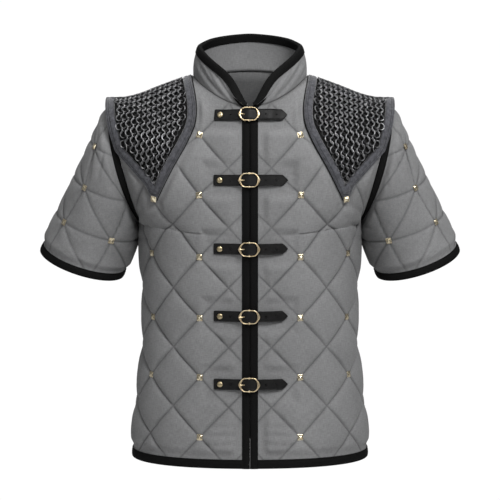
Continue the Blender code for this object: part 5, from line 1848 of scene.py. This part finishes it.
def woven_cloth():
    """Grey melange: threads of several greys both ways, over slow blotches of wear, with painted shade along
    stitch lines and seams, under the arms and on the inner faces."""
    s = Shades("grey_melange")
    across = s.noise("UV", (1100, 110, 1), 1.0)
    down = s.noise("UV", (130, 950, 1), 1.0)
    flecks = s.maths("ADD", across, down)
    tone = s.spread(flecks, 0.75, 1.25, 0.0, 1.0)
    base = s.mixed(tone, CLOTH_DARK, CLOTH_LIGHT)
    blotch = s.spread(s.noise("Object", 14, 3.0), 0.3, 0.7, 0.92, 1.08)
    # Painted shade from the mesh darkens the cloth
    shaded = s.maths("MULTIPLY", blotch, s.spread(s.shade(), 0, 2, 1, 2 * PAINTED_SHADE_TONE - 1))
    hue = s.node("ShaderNodeHueSaturation", {"Color": base, "Value": shaded})
    warp = s.noise("UV", (1600, 500, 1), 0.0)
    weft = s.noise("UV", (500, 1600, 1), 0.0)
    bump = s.bump(s.maths("ADD", warp, weft), 0.0003, 0.5)
    s.set(Base_Color=hue.outputs[0], Roughness=0.95, Normal=bump)
    return s.set(Sheen_Weight=0.1, Specular_IOR_Level=0.2)


def cotton_tape():
    s = Shades("black_tape")
    base = s.mottled(700, (0.002, 0.002, 0.002), (0.005, 0.005, 0.005))
    bump = s.bump(s.noise("Object", 1400, 1.0), 0.0003, 0.5)
    return s.set(Base_Color=base, Roughness=0.8, Normal=bump, Specular_IOR_Level=0.12)


def mail_steel():
    """Bright where a link lies in front, with painted shade, near black, where it lies behind the next."""
    s = Shades("mail_steel")
    bright = s.mottled(160, (0.16, 0.16, 0.165), (0.36, 0.36, 0.37), detail=3.0)
    # Painted shade, near black, on the links' back halves
    back_half_shade = s.spread(s.shade(), 0.25, 0.65, 0.0, 1.0)
    base = s.mixed(back_half_shade, bright, (0.06, 0.06, 0.062))
    rough = s.spread(s.noise("Object", 260, 2.0), 0.3, 0.7, 0.28, 0.46)
    return s.set(Base_Color=base, Metallic=1.0, Roughness=rough)


def black_backing():
    s = Shades("black_backing")
    base = s.mottled(900, (0.004, 0.004, 0.004), (0.012, 0.012, 0.012), detail=1.0)
    return s.set(Base_Color=base, Roughness=0.95, Specular_IOR_Level=0.15)


def worn_velvet():
    s = Shades("bluish_velvet")
    base = s.mottled(210, VELVET_DARK, VELVET_LIGHT, (0.36, 0.64), 4.0, 0.65)
    # Painted shade in the velvet's grooves and at its rims
    groove_shade = s.spread(s.shade(), 0.1, 0.5, 1, 0.4)
    base = s.node("ShaderNodeHueSaturation", {"Color": base, "Value": groove_shade}).outputs[0]
    pile = s.noise("Object", 1500, 1.0)
    bump = s.bump(pile, 0.0004, 0.6, s.bump(s.noise("Object", 260, 3.0), 0.0008, 0.5))
    return s.set(Base_Color=base, Roughness=0.9, Normal=bump, Sheen_Weight=0.6, Sheen_Roughness=0.4)


def black_leather():
    s = Shades("black_leather")
    base = s.mottled(120, (0.004, 0.004, 0.004), (0.009, 0.0085, 0.0085), (0.35, 0.7), 4.0, 0.6)
    grain = s.node("ShaderNodeTexVoronoi", {"Vector": s.scaled("Object", 1100), "Scale": 1.0})
    rough = s.spread(s.noise("Object", 80, 3.0), 0.3, 0.7, 0.46, 0.62)
    bump = s.bump(grain.outputs["Distance"], 0.00025, 0.5)
    return s.set(Base_Color=base, Roughness=rough, Normal=bump, Specular_IOR_Level=0.20)


def worn_metal(name, dark, light, low, high):
    s = Shades(name)
    base = s.mottled(240, dark, light, (0.3, 0.6), 4.0, 0.6)
    rough = s.spread(s.noise("Object", 420, 2.0), 0.3, 0.7, low, high)
    return s.set(Base_Color=base, Metallic=1.0, Roughness=rough)


def sewing_thread():
    s = Shades("dark_thread")
    base = s.mottled(2500, (0.075, 0.075, 0.078), (0.13, 0.13, 0.135), detail=1.0)
    return s.set(Base_Color=base, Roughness=0.8)


def studio_floor():
    s = Shades("studio_floor")
    base = s.mottled(3, (0.88, 0.88, 0.88), (0.90, 0.90, 0.90), (0.3, 0.7))
    return s.set(Base_Color=base, Roughness=0.9)


# ---------------------------------------------------------------- camera, light and floor
def add_camera():
    data = bpy.data.cameras.new("camera")
    data.lens = CAMERA_LENS
    data.sensor_width = SENSOR_WIDTH
    camera = new_object("camera", data)
    rise = math.radians(CAMERA_RISE)
    away = Vector((0, -math.cos(rise), math.sin(rise))) * CAMERA_DISTANCE
    camera.location = Vector((0, 0, CAMERA_AIM)) + away
    camera.rotation_euler = (math.pi / 2 - rise, 0, 0)
    bpy.context.scene.camera = camera


def add_area(name, place, size, watts):
    data = bpy.data.lights.new(name, "AREA")
    data.shape = "DISK"
    data.size = size
    data.energy = watts
    light = new_object(name, data)
    light.location = place
    aim = Vector((0, 0, CAMERA_AIM)) - Vector(place)
    light.rotation_euler = aim.to_track_quat("-Z", "Y").to_euler()


def add_world():
    """White behind the gambeson, and an even grey on the other sides, so that forms keep their shade."""
    world = bpy.data.worlds.new("studio")
    world.use_nodes = True
    bpy.context.scene.world = world
    nodes, links = world.node_tree.nodes, world.node_tree.links
    where = nodes.new("ShaderNodeTexCoord")
    parts = nodes.new("ShaderNodeSeparateXYZ")
    fade = nodes.new("ShaderNodeMapRange")
    fade.inputs["From Min"].default_value, fade.inputs["From Max"].default_value = BACKDROP
    fade.inputs["To Min"].default_value, fade.inputs["To Max"].default_value = AMBIENT, BACKDROP_WHITE
    links.new(where.outputs["Generated"], parts.inputs[0])
    links.new(parts.outputs["Y"], fade.inputs["Value"])
    links.new(fade.outputs[0], nodes["Background"].inputs["Color"])


def add_floor():
    mesh = bpy.data.meshes.new("floor")
    shaped = bmesh.new()
    bmesh.ops.create_circle(shaped, cap_ends=True, segments=FLOOR_SIDES, radius=FLOOR_RADIUS)
    shaped.to_mesh(mesh)
    shaped.free()
    mesh.materials.append(studio_floor())
    floor = new_object("floor", mesh)
    floor.location = (0, 0, FLOOR_HEIGHT)


# ---------------------------------------------------------------- assembly
HANDS = (("left", 1), ("right", -1))


def dress(made, slot, *nodes):
    """made takes the place of these CAD nodes, which are hidden. slot is not used."""
    if nodes:
        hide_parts(*nodes)
    return made


def add_cloth():
    pieces = {}
    front = fine_panel(FRONT)
    sleeve = fine_sleeve()
    for word, hand in HANDS:
        for name, (points, faces, uvs) in ((f"front_{word}", front), (f"sleeve_{word}", sleeve)):
            pieces[name] = add_piece(f"quilted_{name}", mirrored(points, hand), faces, melange, uvs)
    points, faces, uvs = fine_panel(BACK)
    pieces["back_panel"] = add_piece("quilted_back_panel", points, faces, melange, uvs)
    points, faces, uvs = fine_collar()
    pieces["collar"] = add_piece("quilted_collar", points, faces, melange, uvs)
    for name, made in pieces.items():
        dress(made, "quilted_cloth", name)
    return pieces


def add_bindings():
    pieces = {}
    for word, hand in HANDS:
        edge = bound_edge(front_edge_frames(), FRONT_BINDING_WIDTH - FRONT_EDGE, CLOTH)
        cuff = bound_edge(cuff_frames(), CUFF_BINDING_WIDTH, CLOTH, closed=True)
        for name, shape in (("front_edge", edge), ("cuff", cuff), ("armhole", armhole_band())):
            node = f"{name}_binding_{word}"
            pieces[node] = add_piece(f"sewn_{node}", mirrored(shape[0], hand), shape[1], tape)
    hem = bound_edge(hem_frames(), HEM_BINDING_WIDTH, CLOTH)
    collar = bound_edge(collar_edge_frames(), COLLAR_BINDING_WIDTH, COLLAR_WALL)
    for node, (points, faces) in (("hem_binding", hem), ("collar_binding", collar)):
        pieces[node] = add_piece(f"sewn_{node}", points, faces, tape)
    for node, made in pieces.items():
        dress(made, "binding_tape", node)
    return pieces


def add_patches():
    pieces = {}
    kinds = (  # key, name, shape, material, slot, the CAD node that it replaces
        ("mail", "linked_mail", linked_mail(), steel, "mail_mesh", "mail_patch"),
        ("backing", "mail_backing", mail_backing(), backing_cloth, "binding_tape", None),
        ("border", "velvet_border", velvet_ring(), velvet, "velvet_border", "patch_border"),
        ("piping", "border_piping", piping(), tape, "binding_tape", None),
    )
    for word, hand in HANDS:
        for key, name, (points, faces, *uvs), material, slot, node in kinds:
            made = add_piece(f"{name}_{word}", mirrored(points, hand), faces, material, *uvs)
            nodes = [f"{node}_{word}"] if node else []
            pieces[f"{key}_{word}"] = dress(made, slot, *nodes)
    return pieces


def add_closures():
    buckle, rivet = fine_buckle(), lathe(RIVET_PROFILE)
    for number, height in enumerate(STRAP_HEIGHTS, 1):
        points, faces = fine_strap(height)
        dress(pierced(f"leather_strap_{number}", points, faces, height), "strap_leather", f"strap_{number}")
        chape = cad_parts[f"chape_{number}"]
        chape.data.materials.clear()
        chape.data.materials.append(leather)
        points, faces = moved(buckle, placement(BUCKLE_X, height, BUCKLE_HEIGHT))
        made = add_piece(f"brass_buckle_{number}", points, faces, brass)
        dress(made, "buckle_brass", f"buckle_{number}")
        above = STRAP_SHAPE[1][1] + STRAP_THICKNESS + 2 * SEAM_GAP
        points, faces = moved(rivet, placement(RIVET_X, height, above))
        made = add_piece(f"domed_rivet_{number}", points, faces, dull_brass, smooth_angle=RIVET_ANGLE)
        dress(made, "buckle_brass", f"rivet_{number}")


def stud_crossings(columns):
    """(column, level) of every stud in a list of columns with their first and last levels."""
    return [(column, level) for column, first, last in columns for level in range(first, last + 1, 2)]


def stud_on_torso(side, column, level):
    shift = column_shift(side)
    share = (column * HALF_DIAMOND - shift) / row_length(side, level)
    point, down, out = torso_frame(side, level, share)
    return upright_matrix(point + out * STUD_LIFT, down, out)


def add_studs():
    stud = fine_stud()
    for word, hand in HANDS:
        for number, (column, level) in enumerate(stud_crossings(FRONT_STUDS), 1):
            points, faces = moved(stud, stud_on_torso(FRONT, column, level))
            points = mirrored(points, hand)
            made = add_piece(f"fine_stud_{word}_{number}", points, faces, gilt, smooth_angle=STUD_ANGLE)
            dress(made, "stud_gilt", f"stud_{word}_{number}")
        shapes = []
        for hoop, angle in zip(HOOP_HEIGHTS, HOOP_STUD_ANGLES):
            for turn in full_turn(STUDS_ROUND):
                turn += math.radians(angle)
                length = sleeve_line(turn)[1][-1]
                if hoop > length - STUD_ROOM:
                    continue  # the crossing would be in the armhole
                point, up, out = sleeve_frame(turn, hoop)
                lift = STUD_LIFT + SLEEVE_LIFT * sleeve_fullness(hoop, length)
                shapes.append(moved(stud, upright_matrix(point + out * lift, -up, out)))
        for side in (FRONT, BACK):
            point, out = patch_point(side, PATCH_TIP_STUD, 0.5)
            down = unit(point - patch_point(side, PATCH_TIP_STUD - PATCH_PROBE, 0.5)[0])
            lift = BORDER_LIFT + VELVET_HEIGHT
            shapes.append(moved(stud, upright_matrix(point + out * lift, down, out)))
        for column, level in stud_crossings(BACK_STUDS):
            if column or hand == 1:
                shapes.append(moved(stud, stud_on_torso(BACK, column, level)))
        points, faces = joined(*shapes)
        made = add_piece(f"more_studs_{word}", mirrored(points, hand), faces, gilt, smooth_angle=STUD_ANGLE)
        dress(made, "stud_gilt")


def add_stitches():
    pieces = {}
    front, back, sleeve = torso_stitches(FRONT), torso_stitches(BACK), sleeve_stitches()
    for word, hand in HANDS:
        for name, dashes in (("front", front), ("back", back), ("sleeve", sleeve)):
            pieces[f"{name}_{word}"] = thread_piece(f"{name}_stitches_{word}", dashes, hand)
    return pieces


add_camera()
melange = woven_cloth()
tape = cotton_tape()
steel = mail_steel()
backing_cloth = black_backing()
velvet = worn_velvet()
leather = black_leather()
brass = worn_metal("golden_brass", (0.66, 0.47, 0.24), (0.94, 0.79, 0.54), 0.28, 0.42)
dull_brass = worn_metal("dull_brass", (0.34, 0.27, 0.15), (0.62, 0.52, 0.33), 0.30, 0.45)
gilt = worn_metal("pale_gilt", (0.62, 0.50, 0.32), (0.86, 0.78, 0.58), 0.22, 0.36)
thread = sewing_thread()

cloth_pieces = add_cloth()
bindings = add_bindings()
patches = add_patches()
add_closures()
add_studs()
threads = add_stitches()

bpy.context.scene.view_settings.view_transform = "Standard"
add_world()
for name, place, size, watts in LIGHTS:
    add_area(name, place, size, watts)
add_floor()
